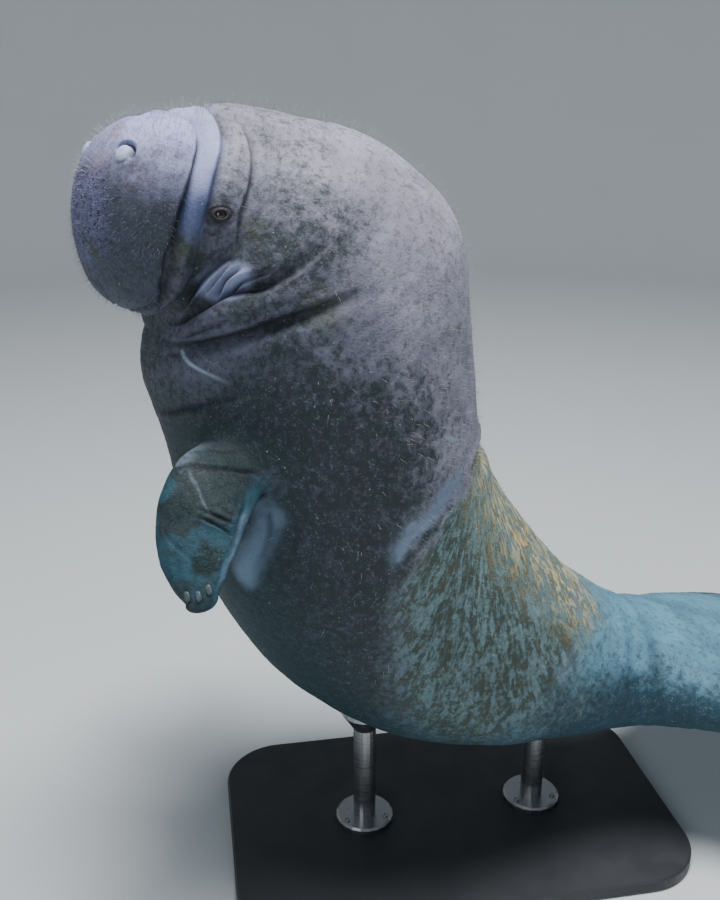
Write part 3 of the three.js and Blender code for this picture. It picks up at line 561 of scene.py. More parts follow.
past_brow = past(*FOLDS["brow"][-1], (1.5, 120), (1.2, 180))
muzzle = 1 - ease((past_muzzle + 0.08) / 0.10)
band = (ease((past_muzzle + 0.04) / 0.08) * (1 - ease((past_brow + 0.10 + 0.4 * wander) / 0.25))
        * (1 - ease((degrees - 88 - 20 * wander) / 18)))
disk = ((1 - ease((grid_t + 0.76 - 0.12 * wander) / 0.22)) * ease((1.450 - heights + 0.02 * wander) / 0.03)
        * ease((heights - 1.235) / 0.03))
film_from = np.interp(grid_t, [2, 3, 4, 5, 6.1, 6.65, 7.2, 7.8, 8.2, 8.6, 9.4, 10.4],
                      [70, 58, 52, 42, 47, 73, 77, 57, 46, 42, 41, 47])
film = ease((degrees - film_from + 22 * wander + 14) / 56) * ease((grid_t - 1.2) / 0.8)
film *= 1 - 0.26 * ease((7.2 - grid_t) / 1.2) * ease((grid_t - 2.6) / 0.8) - 0.1 * wander
head_top = ease((grid_t - 2.2) / 0.8) * ease((6.4 - grid_t) / 2.0)
film = np.maximum(film, (0.34 + 0.14 * bell((grid_t - 5.6) / 0.7) + 0.25 * wander) * head_top)
film = np.maximum(film, muzzle * (0.18 + 0.26 * ease((1.46 - heights) / 0.10) + 0.2 * wander))
film = np.maximum(film * (1 - band), 0.62 * ease((past_muzzle + 0.02) / 0.1) * ease((degrees - 92) / 10) * (grid_t < 3))
past_algae = past((9.6, 0), (9.6, 16), (9.72, 37), (9.86, 50), (10.0, 61), (9.95, 72), (10.08, 79), (10.33, 92),
                  (11, 108), (11.7, 127), (12.3, 150), (12.6, 180)) + 0.35 * wander
algae_edge = np.interp(degrees, [0, 60, 90, 130, 180], [0.10, 0.12, 0.9, 2.2, 2.6])
algae = ease((past_algae + 0.04) / algae_edge) * (1 - ease((grid_t - 12.7 - 1.8 * wander) / 2.6))
algae_top = algae * (1 - ease((degrees - 20) / 38))
pale = 0.8 * bell((past_algae + 0.20) / 0.20) * ease((degrees - 42) / 10) * ease((86 - degrees) / 10)
pale *= ease(0.12 - past_algae / 0.3)
armpit = from_line((9.60, 134), (9.25, 125), (8.90, 118))
pale = np.maximum(pale, 0.85 * ease((0.040 - armpit + 0.018 * wander) / 0.036))
pucker = 0.85 * ease((0.033 - from_line((3.75, 124), (4.2, 117), (4.8, 107)) + 0.016 * wander) / 0.026)
film *= 1 - np.maximum(algae, np.maximum(pale, 0.8 * pucker))
# Painted shade: from the neck back the lower side and the belly are darkened, and the film and algae there take darker
# copies of their colours; the flippers take a little of it.
underside_shade = ease((degrees - 88) / 60) * ease((grid_t - 5.6) / 3.4)
tail = ease((grid_t - 12.1 + 1.2 * wander) / 1.8)
tail_film = ease((grid_t - 14.6 + 1.2 * wander) / 2.2) * ease((degrees - 44) / 34) * ease((150 - degrees) / 30)
film = np.maximum(film, 0.46 * tail_film)
SCAR_REACH = 0.014
scar_side, scar = np.ones(len(smooth)), np.zeros(len(smooth))
for line in ([(5.22, 150, 0), (5.36, 148, 1), (5.85, 141, 1), (6.39, 132, 0.8), (6.85, 123, 0)],
             [(8.86, 53, 0), (8.95, 50, 0.7), (9.02, 47, 0.7), (9.12, 42, 0)]):
    line_side, line_strength = line_marks(smooth, outward, *along_line(line, False), SCAR_REACH)
    scar_side, scar = np.where(line_strength > scar, line_side, scar_side), np.maximum(scar, line_strength)
left = grid_angle < np.pi
# Painted shade: the hide darkens down the sides and low on the back, as under light from above.
low_back_shade = 0.40 * ease((1.30 - heights) / 0.22) * (1 - algae)
side_shade = np.maximum(ease((degrees - 40) / 66), low_back_shade * (grid_t < 12))
for t, angle, radius, cleared in ((5.9, 136, 0.075, 0.65), (6.33, 117, 0.045, 0.45),
                                  (3.1, 95, 0.045, 0.35), (4.4, 69, 0.040, 0.35)):
    film *= 1 - cleared * near_place(t, angle, radius)
moss = 0.9 * near_place(7.92, 37, 0.007) + near_place(-0.70, 143, 0.010) + 0.5 * near_place(6.6, 88, 0.030)
moss += 0.5 * near_place(0.6, 104, 0.026) + 0.4 * near_place(4.3, 88, 0.02)
rust = 0.65 * near_place(-0.36, 12, 0.016) + 0.35 * near_place(-0.62, 22, 0.020)
smudge = 0.9 * near_place(-0.36, 62, 0.030) + 0.6 * near_place(-0.1, 45, 0.020) + 0.5 * near_place(-0.62, 52, 0.016)
# Painted shade: the head and muzzle darker lower down, as under light from above.
low_head_shade = ease((1.495 - heights + 0.05 * wander) / 0.13)
notch = np.array([-0.005, 0.955])
streak_way = np.arctan2(smooth[:, 0] - notch[0], notch[1] - heights)
streak_far = np.hypot(smooth[:, 0] - notch[0], notch[1] - heights)

limb_wander = waves(flipper_shapes[1], (0.30, 0.040, 23), (0.20, 0.014, 24))
limb_film = ease((0.60 - limb_u + 0.45 * limb_wander - 0.0012 * (limb_degrees - 90).clip(0)) / 0.14)
upper_half = ease((0.50 - limb_u) / 0.12)
limb_film *= (ease((172 + 26 * upper_half - limb_degrees + 36 * limb_wander) / 24)
              * ease((limb_degrees - 40 + 20 * limb_wander) / 14))
tip_film = (0.70 + 0.3 * limb_wander) * ease((limb_u - 0.72) / 0.16) * ease((limb_degrees - 30) / 20)
limb_film = np.maximum(limb_film, tip_film)
limb_moss = ease((1 - np.hypot((limb_u - 0.70) / 0.15, (limb_degrees - 66) / 34) + 0.8 * limb_wander) / 0.4)
limb_pale = 0.40 * ease((0.9 - np.abs(limb_degrees - 14) / 26) / 0.3)
limb_pale *= ease((limb_u - 0.2) / 0.1) * ease((1 - limb_u) / 0.2)
front_scars = ease((0.36 - np.abs(limb_u - 0.23) * 3 + 1.4 * limb_wander) / 0.26)
front_scars = 0.45 * front_scars * bell((limb_degrees - 160) / 18)
limb_scar = np.maximum(flipper_scars, front_scars)
limb_scar_side = np.where(front_scars > flipper_scars, 0, flipper_scar_side)
nothing, trunk_nothing = np.zeros(len(limb_u)), np.zeros(len(smooth))
MARKS = {
    "crease": (crease, flipper_creases), "film": (film, limb_film), "pale": (pale, limb_pale),
    "scar": (scar, limb_scar), "scar_side": (scar_side, limb_scar_side), "moss": (moss * left, limb_moss),
    "limb": (trunk_nothing, nothing + 1), "underside_shade": (underside_shade, nothing + 0.35), "side": (side_shade, nothing + 0.8),
}
MARKS |= {name: (values, nothing) for name, values in {
    "muzzle": muzzle, "low_head_shade": low_head_shade, "band": band, "disk": disk, "plug": plug_mask, "slit": slit_mask,
    "lid_shade": np.maximum(lid_mask, socket_shade), "algae": algae, "algae_top": algae_top, "tail": tail,
    "pucker": pucker, "smudge": smudge, "rust": rust * left, "streak_way": streak_way, "streak_far": streak_far,
}.items()}


# The one hide: trunk and flippers are fused, then the line where they meet is relaxed into a soft fillet.
# No seam is left, as on the animal.
def poles(points, columns):
    """The middle of the first and of the last ring."""
    return np.array([points[:columns].mean(0), points[-columns:].mean(0)])


def read_all(items, name, width=1, kind=float):
    """One value, or one row of values, of each of a mesh's points, edges or faces."""
    values = np.zeros(len(items) * width, kind)
    items.foreach_get(name, values)
    return values.reshape(-1, width) if width > 1 else values


def mesh_points(mesh):
    return read_all(mesh.vertices, "co", 3)


def set_points(mesh, points):
    mesh.vertices.foreach_set("co", points.ravel())
    mesh.update()


def mark_points(mesh, name, values):
    mesh.attributes.new(name, "FLOAT", "POINT").data.foreach_set("value", np.ascontiguousarray(values, np.float32))


def new_mesh(name, points, faces):
    mesh = bpy.data.meshes.new(name)
    mesh.from_pydata(np.asarray(points, float).tolist(), [], faces)
    return mesh


def mesh_object(name, mesh):
    piece = bpy.data.objects.new(name, mesh)
    bpy.context.scene.collection.objects.link(piece)
    return piece


def ring_quads(rows, columns):
    """The faces between rings of points, each ring closed and joined to the next."""
    k = np.arange(columns)
    n = (k + 1) % columns
    row = np.arange(rows - 1)[:, None] * columns
    return np.stack([row + k, row + n, row + columns + n, row + columns + k], -1).reshape(-1, 4)


def ring_mesh(name, points, rows, columns):
    """A closed lofted mesh from rings of points, with its faces turned outward."""
    k = np.arange(columns)
    n = (k + 1) % columns
    top = (rows - 1) * columns
    fans = np.stack([n, k, k * 0 + rows * columns], 1), np.stack([k + top, n + top, k * 0 + rows * columns + 1], 1)
    faces = ring_quads(rows, columns).tolist() + fans[0].tolist() + fans[1].tolist()
    mesh = new_mesh(name, np.vstack([points, poles(points, columns)]), faces)
    mesh.calc_loop_triangles()
    a, b, c = mesh_points(mesh)[read_all(mesh.loop_triangles, "vertices", 3, int)].transpose(1, 0, 2)
    if np.einsum("ij,ij->i", a, np.cross(b, c)).sum() < 0:
        mesh.flip_normals()
    return mesh


hide = mesh_object("hide", ring_mesh("hide", hide_points, TRUNK_ROWS, TRUNK_COLUMNS))
for points in flipper_shapes.values():
    limb = mesh_object("limb", ring_mesh("limb", points, len(flipper_u), FLIPPER_COLUMNS))
    union = hide.modifiers.new("fuse", "BOOLEAN")
    union.operation = "UNION"
    union.solver = "MANIFOLD"
    union.object = limb
    fused = bpy.data.meshes.new_from_object(hide.evaluated_get(bpy.context.evaluated_depsgraph_get()))
    hide.modifiers.clear()
    hide.data = fused
    bpy.data.objects.remove(limb)
hide.data.name = "hide"


# Origin of the hide's points: for each, the point of the trunk or of a flipper that it came from, so that
# the fillet, the markings and the unwrap can be given to the fused hide.
def on_all(trunk_values, limb_values, other_limb_values=None):
    """One list over the points of the trunk and both flippers, each followed by its two poles."""
    lists = (trunk_values, limb_values, limb_values if other_limb_values is None else other_limb_values)
    return np.concatenate([np.concatenate([v, v[:1], v[-1:]]) for v in lists])


def lookup(points):
    """Points set out so that the one nearest to a place is found at once."""
    nearest = KDTree(len(points))
    for k, p in enumerate(points):
        nearest.insert(p, k)
    nearest.balance()
    return nearest


SEAM_GAP = 2e-5
sources = lookup(np.vstack([
    hide_points, poles(hide_points, TRUNK_COLUMNS),
    flipper_shapes[1], poles(flipper_shapes[1], FLIPPER_COLUMNS),
    flipper_shapes[-1], poles(flipper_shapes[-1], FLIPPER_COLUMNS)]))
fused_points = mesh_points(hide.data)
found = [sources.find(p) for p in fused_points]
origin = np.array([index for _, index, _ in found])
seam = np.array([distance for *_, distance in found]) > SEAM_GAP
# part is 0 on the trunk and 1 or -1 on a flipper, and part_a and part_b are the place along it and round it.
part, part_a, part_b = (values[origin] for values in (
    on_all(np.zeros(len(hide_points), int), np.full(len(limb_u), 1), np.full(len(limb_u), -1)),
    on_all(grid_t, limb_u), on_all(grid_angle, limb_angle)))

# Fillet at the flippers' roots: the skin runs over from trunk to limb in a soft hollow, tighter in the
# armpit. The points near the seam are drawn toward their neighbours, and less the further off they are.
FILLET_RINGS = 26
FILLET_PASSES = 120
FILLET_PULL = 0.8
ARMPIT = {"rings": 6, "low": 0.900, "high": 0.975}
edges = read_all(hide.data.edges, "vertices", 2, int)
seam |= np.isin(np.arange(len(part)), edges[part[edges[:, 0]] != part[edges[:, 1]]])
rings = np.where(seam, 0, FILLET_RINGS + 1)
for ring in range(FILLET_RINGS):
    for a, b in ((0, 1), (1, 0)):
        np.minimum.at(rings, edges[:, b], rings[edges[:, a]] + 1)
reach = ease((fused_points[:, 2] - ARMPIT["low"]) / (ARMPIT["high"] - ARMPIT["low"]))
reach = ARMPIT["rings"] + reach * (FILLET_RINGS - ARMPIT["rings"])
weight = ease(1 - rings / (reach + 1)) * FILLET_PULL
local_edges = edges[(weight[edges[:, 0]] > 0) | (weight[edges[:, 1]] > 0)]
count = np.bincount(local_edges.ravel(), minlength=len(part)).clip(1)


def relaxed(values, passes):
    """Columns of values drawn toward the mean of their neighbours, near the seam only."""
    values = values.copy()
    for _ in range(passes):
        for k in range(values.shape[1]):
            mean = (np.bincount(local_edges[:, 0], values[local_edges[:, 1], k], len(part))
                    + np.bincount(local_edges[:, 1], values[local_edges[:, 0], k], len(part))) / count
            values[:, k] += weight * (mean - values[:, k])
    return values


fused_points = relaxed(fused_points, FILLET_PASSES)
set_points(hide.data, fused_points)

# Creases over the flipper's root: loose skin that gathers where the limb bends. They are pressed in after the
# fillet, along the hide's own outward way. Each is a width, a depth and a line as in the flipper's folds.
ROOT_FOLDS = {
    "elbow": (0.0034, 0.0058, [
        (0.29, 158, 0.2), (0.28, 136, 0.9), (0.26, 111, 1), (0.225, 90, 1), (0.19, 68, 1), (0.17, 48, 0)]),
    "shoulder": (0.0026, 0.0022, [(0.20, 140, 0), (0.19, 120, 1), (0.17, 100, 1), (0.15, 84, 0)]),
    "armpit": (0.0046, 0.0060, [(0.10, 12, 0.4), (0.17, 4, 1), (0.26, -4, 0.8), (0.34, -8, 0)]),
}
ROOT_FOLD_REACH = 0.030
MARK_PASSES = 40
out = read_all(hide.data.vertices, "normal", 3)
root_creases = np.zeros(len(fused_points))
for width, depth, line in ROOT_FOLDS.values():
    u, angle, strengths = finer_line(line).T
    for side in (1, -1):
        corners = flipper_points(u, np.radians(angle), side)
        _, strength, across, *_ = near_lines(fused_points, [(corners, strengths)], ROOT_FOLD_REACH)
        away = across - out * np.einsum("ij,ij->i", across, out)[:, None]
        press = np.where(part == -side, 0, strength) * bell(np.linalg.norm(away, axis=1) / width)
        fused_points -= out * (depth * press)[:, None]
        root_creases = np.maximum(root_creases, press)
set_points(hide.data, fused_points)
hide.data.shade_smooth()
mark_values = relaxed(np.column_stack([on_all(*pair)[origin] for pair in MARKS.values()]), MARK_PASSES)
mark_values[:, 0] = np.maximum(mark_values[:, 0], root_creases)
marked = dict(zip(MARKS, mark_values.T))
for name, values in marked.items():
    mark_points(hide.data, name, values)

# The unwrap of the hide: the trunk laid out by its angle and its length, and the flippers in two strips above.
# It lets the finish be baked onto the skin without overlaps.
TRUNK_STRIP = (0.005, 0.80)
TRUNK_ROUND = 0.985
LIMB_STRIP = (0.83, 0.16)
LIMB_LENGTH = (0.01, 0.235)


def on_unwrap(which, a, b):
    """The place on the unwrap of points given by their part, place along it and angle round it."""
    length = np.interp(a, trunk_t, arc) / arc[-1]
    trunk_place = np.stack([b / (2 * np.pi) * TRUNK_ROUND, TRUNK_STRIP[0] + TRUNK_STRIP[1] * length], -1)
    along_limb = LIMB_LENGTH[0] + LIMB_LENGTH[1] * np.clip(a, 0, 2) + np.where(which < 0, 0.5, 0)
    limb_place = np.stack([along_limb, LIMB_STRIP[0] + LIMB_STRIP[1] * b / (2 * np.pi)], -1)
    return np.where((which == 0)[..., None], trunk_place, limb_place)


corner_vertex = read_all(hide.data.loops, "vertex_index", 1, int)
sizes = read_all(hide.data.polygons, "loop_total", 1, int)
face = np.repeat(np.arange(len(sizes)), sizes)
first = np.concatenate([[0], np.cumsum(sizes)[:-1]])
face_part = np.minimum.reduceat(np.abs(part[corner_vertex]), first)[face] * part[corner_vertex]
corner_a, corner_b = part_a[corner_vertex].copy(), part_b[corner_vertex].copy()
trunk_lookup = lookup(hide_points)
for corner in np.nonzero((face_part == 0) & (part[corner_vertex] != 0))[0]:
    nearest = trunk_lookup.find(fused_points[corner_vertex[corner]])[1]
    corner_a[corner], corner_b[corner] = grid_t[nearest], grid_angle[nearest]
low = np.minimum.reduceat(corner_b, first)[face]
high = np.maximum.reduceat(corner_b, first)[face]
corner_b = np.where((high - low > np.pi) & (corner_b < np.pi), corner_b + 2 * np.pi, corner_b)
unwrap = hide.data.uv_layers.new(name="OFBake")
unwrap.data.foreach_set("uv", on_unwrap(face_part, corner_a, corner_b).astype(np.float32).ravel())


# Finish of the hide: dull, finely creased and pebbled skin. Colours are a paint maker's red, green and blue
# up to 255. The rest is noise at the hide's own place, and the markings, which are asked for by name.
def paint(red, green, blue):
    channels = [c / 255 for c in (red, green, blue)]
    return (*(c / 12.92 if c <= 0.04045 else ((c + 0.055) / 1.055) ** 2.4 for c in channels), 1.0)


def feed(socket, value):
    """Sets a socket, or links to it another node's output or the marking of that name."""
    if isinstance(value, str):
        value = node("Attribute", "Fac", {}, attribute_name=value)
    if isinstance(value, bpy.types.NodeSocket):
        tree.links.new(value, socket)
    else:
        socket.default_value = value


def node(kind, output, inputs, **settings):
    """The output of a new node in the material in hand, with its settings made and its inputs fed."""
    made = tree.nodes.new("ShaderNode" + kind)
    for name, value in settings.items():
        setattr(made, name, value)
    for name, value in inputs.items():
        feed(made.inputs[name], value)
    return made.outputs[output]


def finish(name, roughness, **settings):
    """Takes a new material in hand, with the settings of its one shader that are the same all over."""
    global tree, shader
    material = bpy.data.materials.new(name)
    material.use_nodes = True
    tree = material.node_tree
    shader = tree.nodes["Principled BSDF"].inputs
    wear(Roughness=roughness, **settings)
    return material


def wear(**looks):
    """Feeds the shader of the material in hand."""
    for name, value in looks.items():
        feed(shader[name.replace("_", " ")], value)


def noise(scale, detail=4.0, rough=0.6, bend=0.0, where=None):
    """Noise from 0 to 1, at the piece's own place if no other is given."""
    place = node("TexCoord", "Object", {}) if where is None else where
    return node("TexNoise", "Fac", {
        "Vector": place, "Scale": scale, "Detail": detail, "Roughness": rough, "Distortion": bend})


def cells(scale, feature="F1"):
    return node("TexVoronoi", "Distance", {"Vector": node("TexCoord", "Object", {}), "Scale": scale}, feature=feature)


def span(value, low, high, start=0.0, end=1.0):
    """A smooth step of a value from start to end."""
    inputs = dict(enumerate((value, low, high, start, end)))
    return node("MapRange", "Result", inputs, interpolation_type="SMOOTHSTEP")


def sums(operation, value, *others):
    """Values put together one after another."""
    for other in others or (0.0,):
        value = node("Math", "Value", {0: value, 1: other}, operation=operation)
    return value


def times(*values):
    return sums("MULTIPLY", *values)


def layered(colour, *layers):
    """A colour with layers laid over it: each is a mask, a colour and, if it isn't plain paint, its kind."""
    for mask, over, *kind in layers:
        colour = node("Mix", 2, {0: mask, 6: colour, 7: over}, data_type="RGBA", blend_type=kind[0] if kind else "MIX")
    return colour


def blend(mask, under, over):
    return layered(under, (mask, over))


def bumped(height, distance, strength):
    return node("Bump", "Normal", {"Height": height, "Distance": distance, "Strength": strength})


BACK = paint(164, 163, 180)
# Painted shade: a darker copy of the back's colour for the flanks.
FLANK_SHADE = paint(94, 98, 116)
# Painted shade: a dark greenish copy for the underside.
BELLY_SHADE = paint(14, 58, 68)
LIMB = paint(40, 74, 88)
TAIL = paint(100, 154, 178)
# Painted shade: a darker copy of the tail's colour for its sides.
TAIL_SIDE_SHADE = paint(72, 122, 142)
LAVENDER = paint(178, 182, 230)
# Painted shade: a darker copy of the muzzle's colour for its lower part.
MUZZLE_LOW_SHADE = paint(60, 68, 82)
MUZZLE_SPECK = paint(128, 130, 150)
DISK = paint(106, 108, 148)
BAND = paint(184, 190, 232)
# Painted shade: a darker copy of the band's colour for its lower part.
BAND_LOW_SHADE = paint(98, 108, 150)
CLOUD = paint(120, 116, 124)
FRECKLE = paint(120, 112, 116)
SPECK = paint(206, 210, 220)
VEIL = paint(86, 88, 102)
LIMB_VEIL = paint(46, 68, 76)
FILM = paint(42, 46, 53)
FILM_OLIVE = paint(38, 50, 49)
# Painted shade: a darker copy of the film for the underside.
FILM_SHADE = paint(7, 42, 48)
FILM_TAIL = paint(30, 64, 76)
LIMB_FILM = paint(16, 30, 34)
LIMB_FILM_LIGHT = paint(40, 52, 54)
FILM_GAP = paint(116, 126, 142)
# Painted shade: a darker copy of the film's gaps for the underside.
FILM_GAP_SHADE = paint(62, 90, 98)
BARE = paint(110, 134, 158)
PUCKER = paint(156, 164, 200)
SMUDGE = paint(84, 78, 84)
ALGAE_SKIN = paint(104, 130, 136)
# Painted shade: a darker copy of the skin under the algae for the underside.
ALGAE_SKIN_SHADE = paint(16, 56, 62)
ALGAE_GRIME = paint(66, 78, 74)
ALGAE_DARK = paint(50, 58, 48)
ALGAE_OLIVE = paint(60, 62, 46)
# Painted shade: a darker copy of the algae tufts for the underside.
ALGAE_SHADE = paint(22, 44, 44)
ALGAE_TOP = paint(104, 98, 68)
ALGAE_LIGHT = paint(196, 192, 156)
ALGAE_GOLD = paint(214, 178, 104)
FOLLICLE = paint(38, 40, 64)
PLUG = paint(186, 196, 224)
# Painted shade round the eye and in its socket.
LID_SHADE = paint(44, 40, 46)
MOSS = paint(70, 78, 40)
LIMB_MOSS = paint(20, 34, 30)
RUST = paint(186, 128, 88)
SCAR = paint(158, 174, 194)
SHADE = paint(24, 26, 32)

hide_finish = finish("hide", 0.62, Specular_IOR_Level=0.28)
cloud = noise(7, 3)
patch = noise(24, 4, 0.68, 0.4)
mottle = noise(82, 4, 0.72, 0.3)
grain = noise(240, 3, 0.7)
fan = node("CombineXYZ", "Vector", {0: times("streak_way", 21), 1: times("streak_far", 15), 2: times(cloud, 3)})
streak = noise(1.0, 4, 0.66, 0.8, fan)
fine_streak = noise(2.4, 3, 0.65, 0.6, fan)
follicle = cells(150)
freckled = sums("SUBTRACT", 1.0, sums("MAXIMUM", times("band", 0.8), times("muzzle", 0.45)))

# The brown film lies over the skin in clouds of mottles and grains, and the skin shows through its gaps.
# On the underside the film takes a darker copy of its colour, which is painted shade.
film_mask = span(sums("ADD", times(patch, 0.35), times(mottle, 0.45), times(grain, 0.20), times("film", 0.34)),
                 0.56, 0.84, 0, 0.92)
film_colour = layered(
    FILM,
    (span(patch, 0.42, 0.6), FILM_OLIVE),
    ("underside_shade", FILM_SHADE),
    ("limb", blend(span(mottle, 0.42, 0.60), LIMB_FILM, LIMB_FILM_LIGHT)),
    ("tail", FILM_TAIL))
film_gaps = times(span(grain, 0.50, 0.66), span(mottle, 0.56, 0.44), film_mask, 0.58,
                  sums("SUBTRACT", 1.0, times("limb", 0.6)))

# Algae: dark tufts over pale skin, drawn out in streaks that fan from the notch in the back. On the
# underside skin and tufts take darker copies of their colours, which are painted shade.
tufts = sums("ADD", times(streak, 0.40), times(mottle, 0.32), times(fine_streak, 0.28))
algae_colour = layered(
    ALGAE_SKIN,
    ("underside_shade", ALGAE_SKIN_SHADE),
    (span(grain, 0.45, 0.62, 0, 0.4), ALGAE_GRIME),
    (span(tufts, 0.43, 0.55, 0, 0.86), layered(
        ALGAE_DARK, (span(patch, 0.4, 0.6), ALGAE_OLIVE), ("underside_shade", ALGAE_SHADE), ("algae_top", ALGAE_TOP))),
    (times("algae_top", span(fine_streak, 0.46, 0.62, 0, 0.85)), ALGAE_LIGHT),
    (times("algae_top", span(streak, 0.60, 0.68, 0, 0.7)), ALGAE_GOLD))

scar_line = span(sums("ABSOLUTE", "scar_side"), 0.05, 0.38, 1, 0)
growths = times(span(cells(62), 0.04, 0.12, 1, 0), span(patch, 0.50, 0.60), 0.42,
                sums("SUBTRACT", 1.0, sums("MAXIMUM", "algae", "limb")))
colour = layered(
    BACK,
    # Painted shade: the flanks darker than the back.
    ("side", FLANK_SHADE),
    # Painted shade: the underside darkest.
    ("underside_shade", BELLY_SHADE),
    ("limb", LIMB),
    # Painted shade: the tail's sides darker than its top.
    ("tail", blend("side", TAIL, TAIL_SIDE_SHADE)),
    # Painted shade: the muzzle and the band darker lower down.
    ("muzzle", blend("low_head_shade", LAVENDER, MUZZLE_LOW_SHADE)),
    ("disk", DISK),
    ("band", blend("low_head_shade", BAND, BAND_LOW_SHADE)),
    (span(cloud, 0.42, 0.62, 0, 0.35), CLOUD, "MULTIPLY"),
    (times(span(mottle, 0.47, 0.66, 0, 0.46), freckled), FRECKLE, "MULTIPLY"),
    (times("muzzle", "low_head_shade", span(grain, 0.50, 0.66, 0, 0.42)), MUZZLE_SPECK),
    (times(span(grain, 0.50, 0.72, 0, 0.34), freckled), SPECK, "SOFT_LIGHT"),
    (times("film", span(patch, 0.35, 0.62, 0.35, 0.75)), blend("limb", VEIL, LIMB_VEIL)),
    (film_mask, film_colour),
    # Painted shade: the film's gaps take a darker copy on the underside.
    (film_gaps, blend("underside_shade", FILM_GAP, FILM_GAP_SHADE)),
    (times("pale", span(mottle, 0.30, 0.5, 0.7, 0.95)), BARE),
    (times("pucker", span(mottle, 0.30, 0.5, 0.6, 0.9)), PUCKER),
    (times("smudge", span(mottle, 0.36, 0.58, 0.1, 0.8)), SMUDGE),
    ("algae", algae_colour),
    (times("disk", span(follicle, 0.20, 0.42, 0.9, 0)), FOLLICLE),
    ("plug", PLUG),
    # Painted shade round the eye and in its socket.
    (times("lid_shade", 0.85), LID_SHADE),
    (times("moss", span(mottle, 0.32, 0.54, 0.2, 0.9)), blend("limb", MOSS, LIMB_MOSS)),
    (times("rust", span(mottle, 0.35, 0.6, 0, 0.7)), RUST),
    (times("scar", scar_line, span(mottle, 0.36, 0.56, 0.35, 0.8)), SCAR),
    (growths, SPECK),
    (times(sums("MAXIMUM", "crease", "slit"), 0.78), SHADE))
relief = sums("ADD", span(cells(150, "DISTANCE_TO_EDGE"), 0.0, 0.20, 0, 0.45), grain, times(follicle, -0.35))
wear(Base_Color=colour, Roughness=span(grain, 0.3, 0.7, 0.55, 0.80), Normal=bumped(relief, 0.0008, 0.55))
hide.data.materials.clear()
hide.data.materials.append(hide_finish)
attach(hide, "root")
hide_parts("muzzle", "lower_jaw", "head", "neck", "chest", "belly", "loin", "tail_stock", "tail_paddle",
            "flipper_left", "flipper_right")


# Eyes: small dark brown glass balls, painted behind, set deep between the lids. Each has a wide pupil and an
# iris that fades into the dull white of the eye.
BALL_RINGS = 24


def ball(name, segments, material):
    """A round mesh of radius 1 about nought, and its points."""
    made = bmesh.new()
    bmesh.ops.create_uvsphere(made, u_segments=segments, v_segments=BALL_RINGS, radius=1)
    mesh = bpy.data.meshes.new(name)
    made.to_mesh(mesh)
    made.free()
    mesh.materials.append(material)
    mesh.shade_smooth()
    return mesh, mesh_points(mesh)


EYE_SEGMENTS = 48
PUPIL_EDGE = (0.90, 0.93)
IRIS_EDGE = (0.60, 0.74)
eye_finish = finish("eye", 0.08, Specular_IOR_Level=0.6, Coat_Weight=0.6, Coat_Roughness=0.04)
iris = blend(noise(900, 4, 0.7, 1.0), paint(44, 30, 24), paint(82, 60, 44))
wear(Base_Color=layered(
    paint(66, 56, 54), (span("gaze", *IRIS_EDGE), iris), (span("gaze", *PUPIL_EDGE), paint(6, 6, 9))))
for side, name in ((1, "eye_left"), (-1, "eye_right")):
    at, fore, up, out = surface_frame(EYE, side)
    eye_mesh, unit = ball(name, EYE_SEGMENTS, eye_finish)
    set_points(eye_mesh, at - out * EYE["sunk"] + EYE["radius"] * unit @ np.array([fore, up, out]))
    mark_points(eye_mesh, "gaze", unit[:, 2])
    eye = mesh_object("glass_" + name, eye_mesh)
    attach(eye, "root")
    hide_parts(name)

# The mottle of two tones, which nails, hairs, stand, screws and floor share, is one group of nodes. It gives a
# colour from its two tones, the size of its grains and their detail.
mottle_group = bpy.data.node_groups.new("mottle", "ShaderNodeTree")
for socket, kind in (("Scale", "Float"), ("Detail", "Float"), ("Dark", "Color"), ("Light", "Color")):
    mottle_group.interface.new_socket(socket, in_out="INPUT", socket_type="NodeSocket" + kind)
mottle_group.interface.new_socket("Colour", in_out="OUTPUT", socket_type="NodeSocketColor")
tree = mottle_group
given = tree.nodes.new("NodeGroupInput").outputs
two_tones = blend(noise(given["Scale"], given["Detail"]), given["Dark"], given["Light"])
feed(tree.nodes.new("NodeGroupOutput").inputs["Colour"], two_tones)


def mottled(scale, detail, dark, light):
    """The shared mottle, put into the material in hand with its own values."""
    inputs = {"Scale": scale, "Detail": detail, "Dark": dark, "Light": light}
    return node("Group", "Colour", inputs, node_tree=mottle_group)


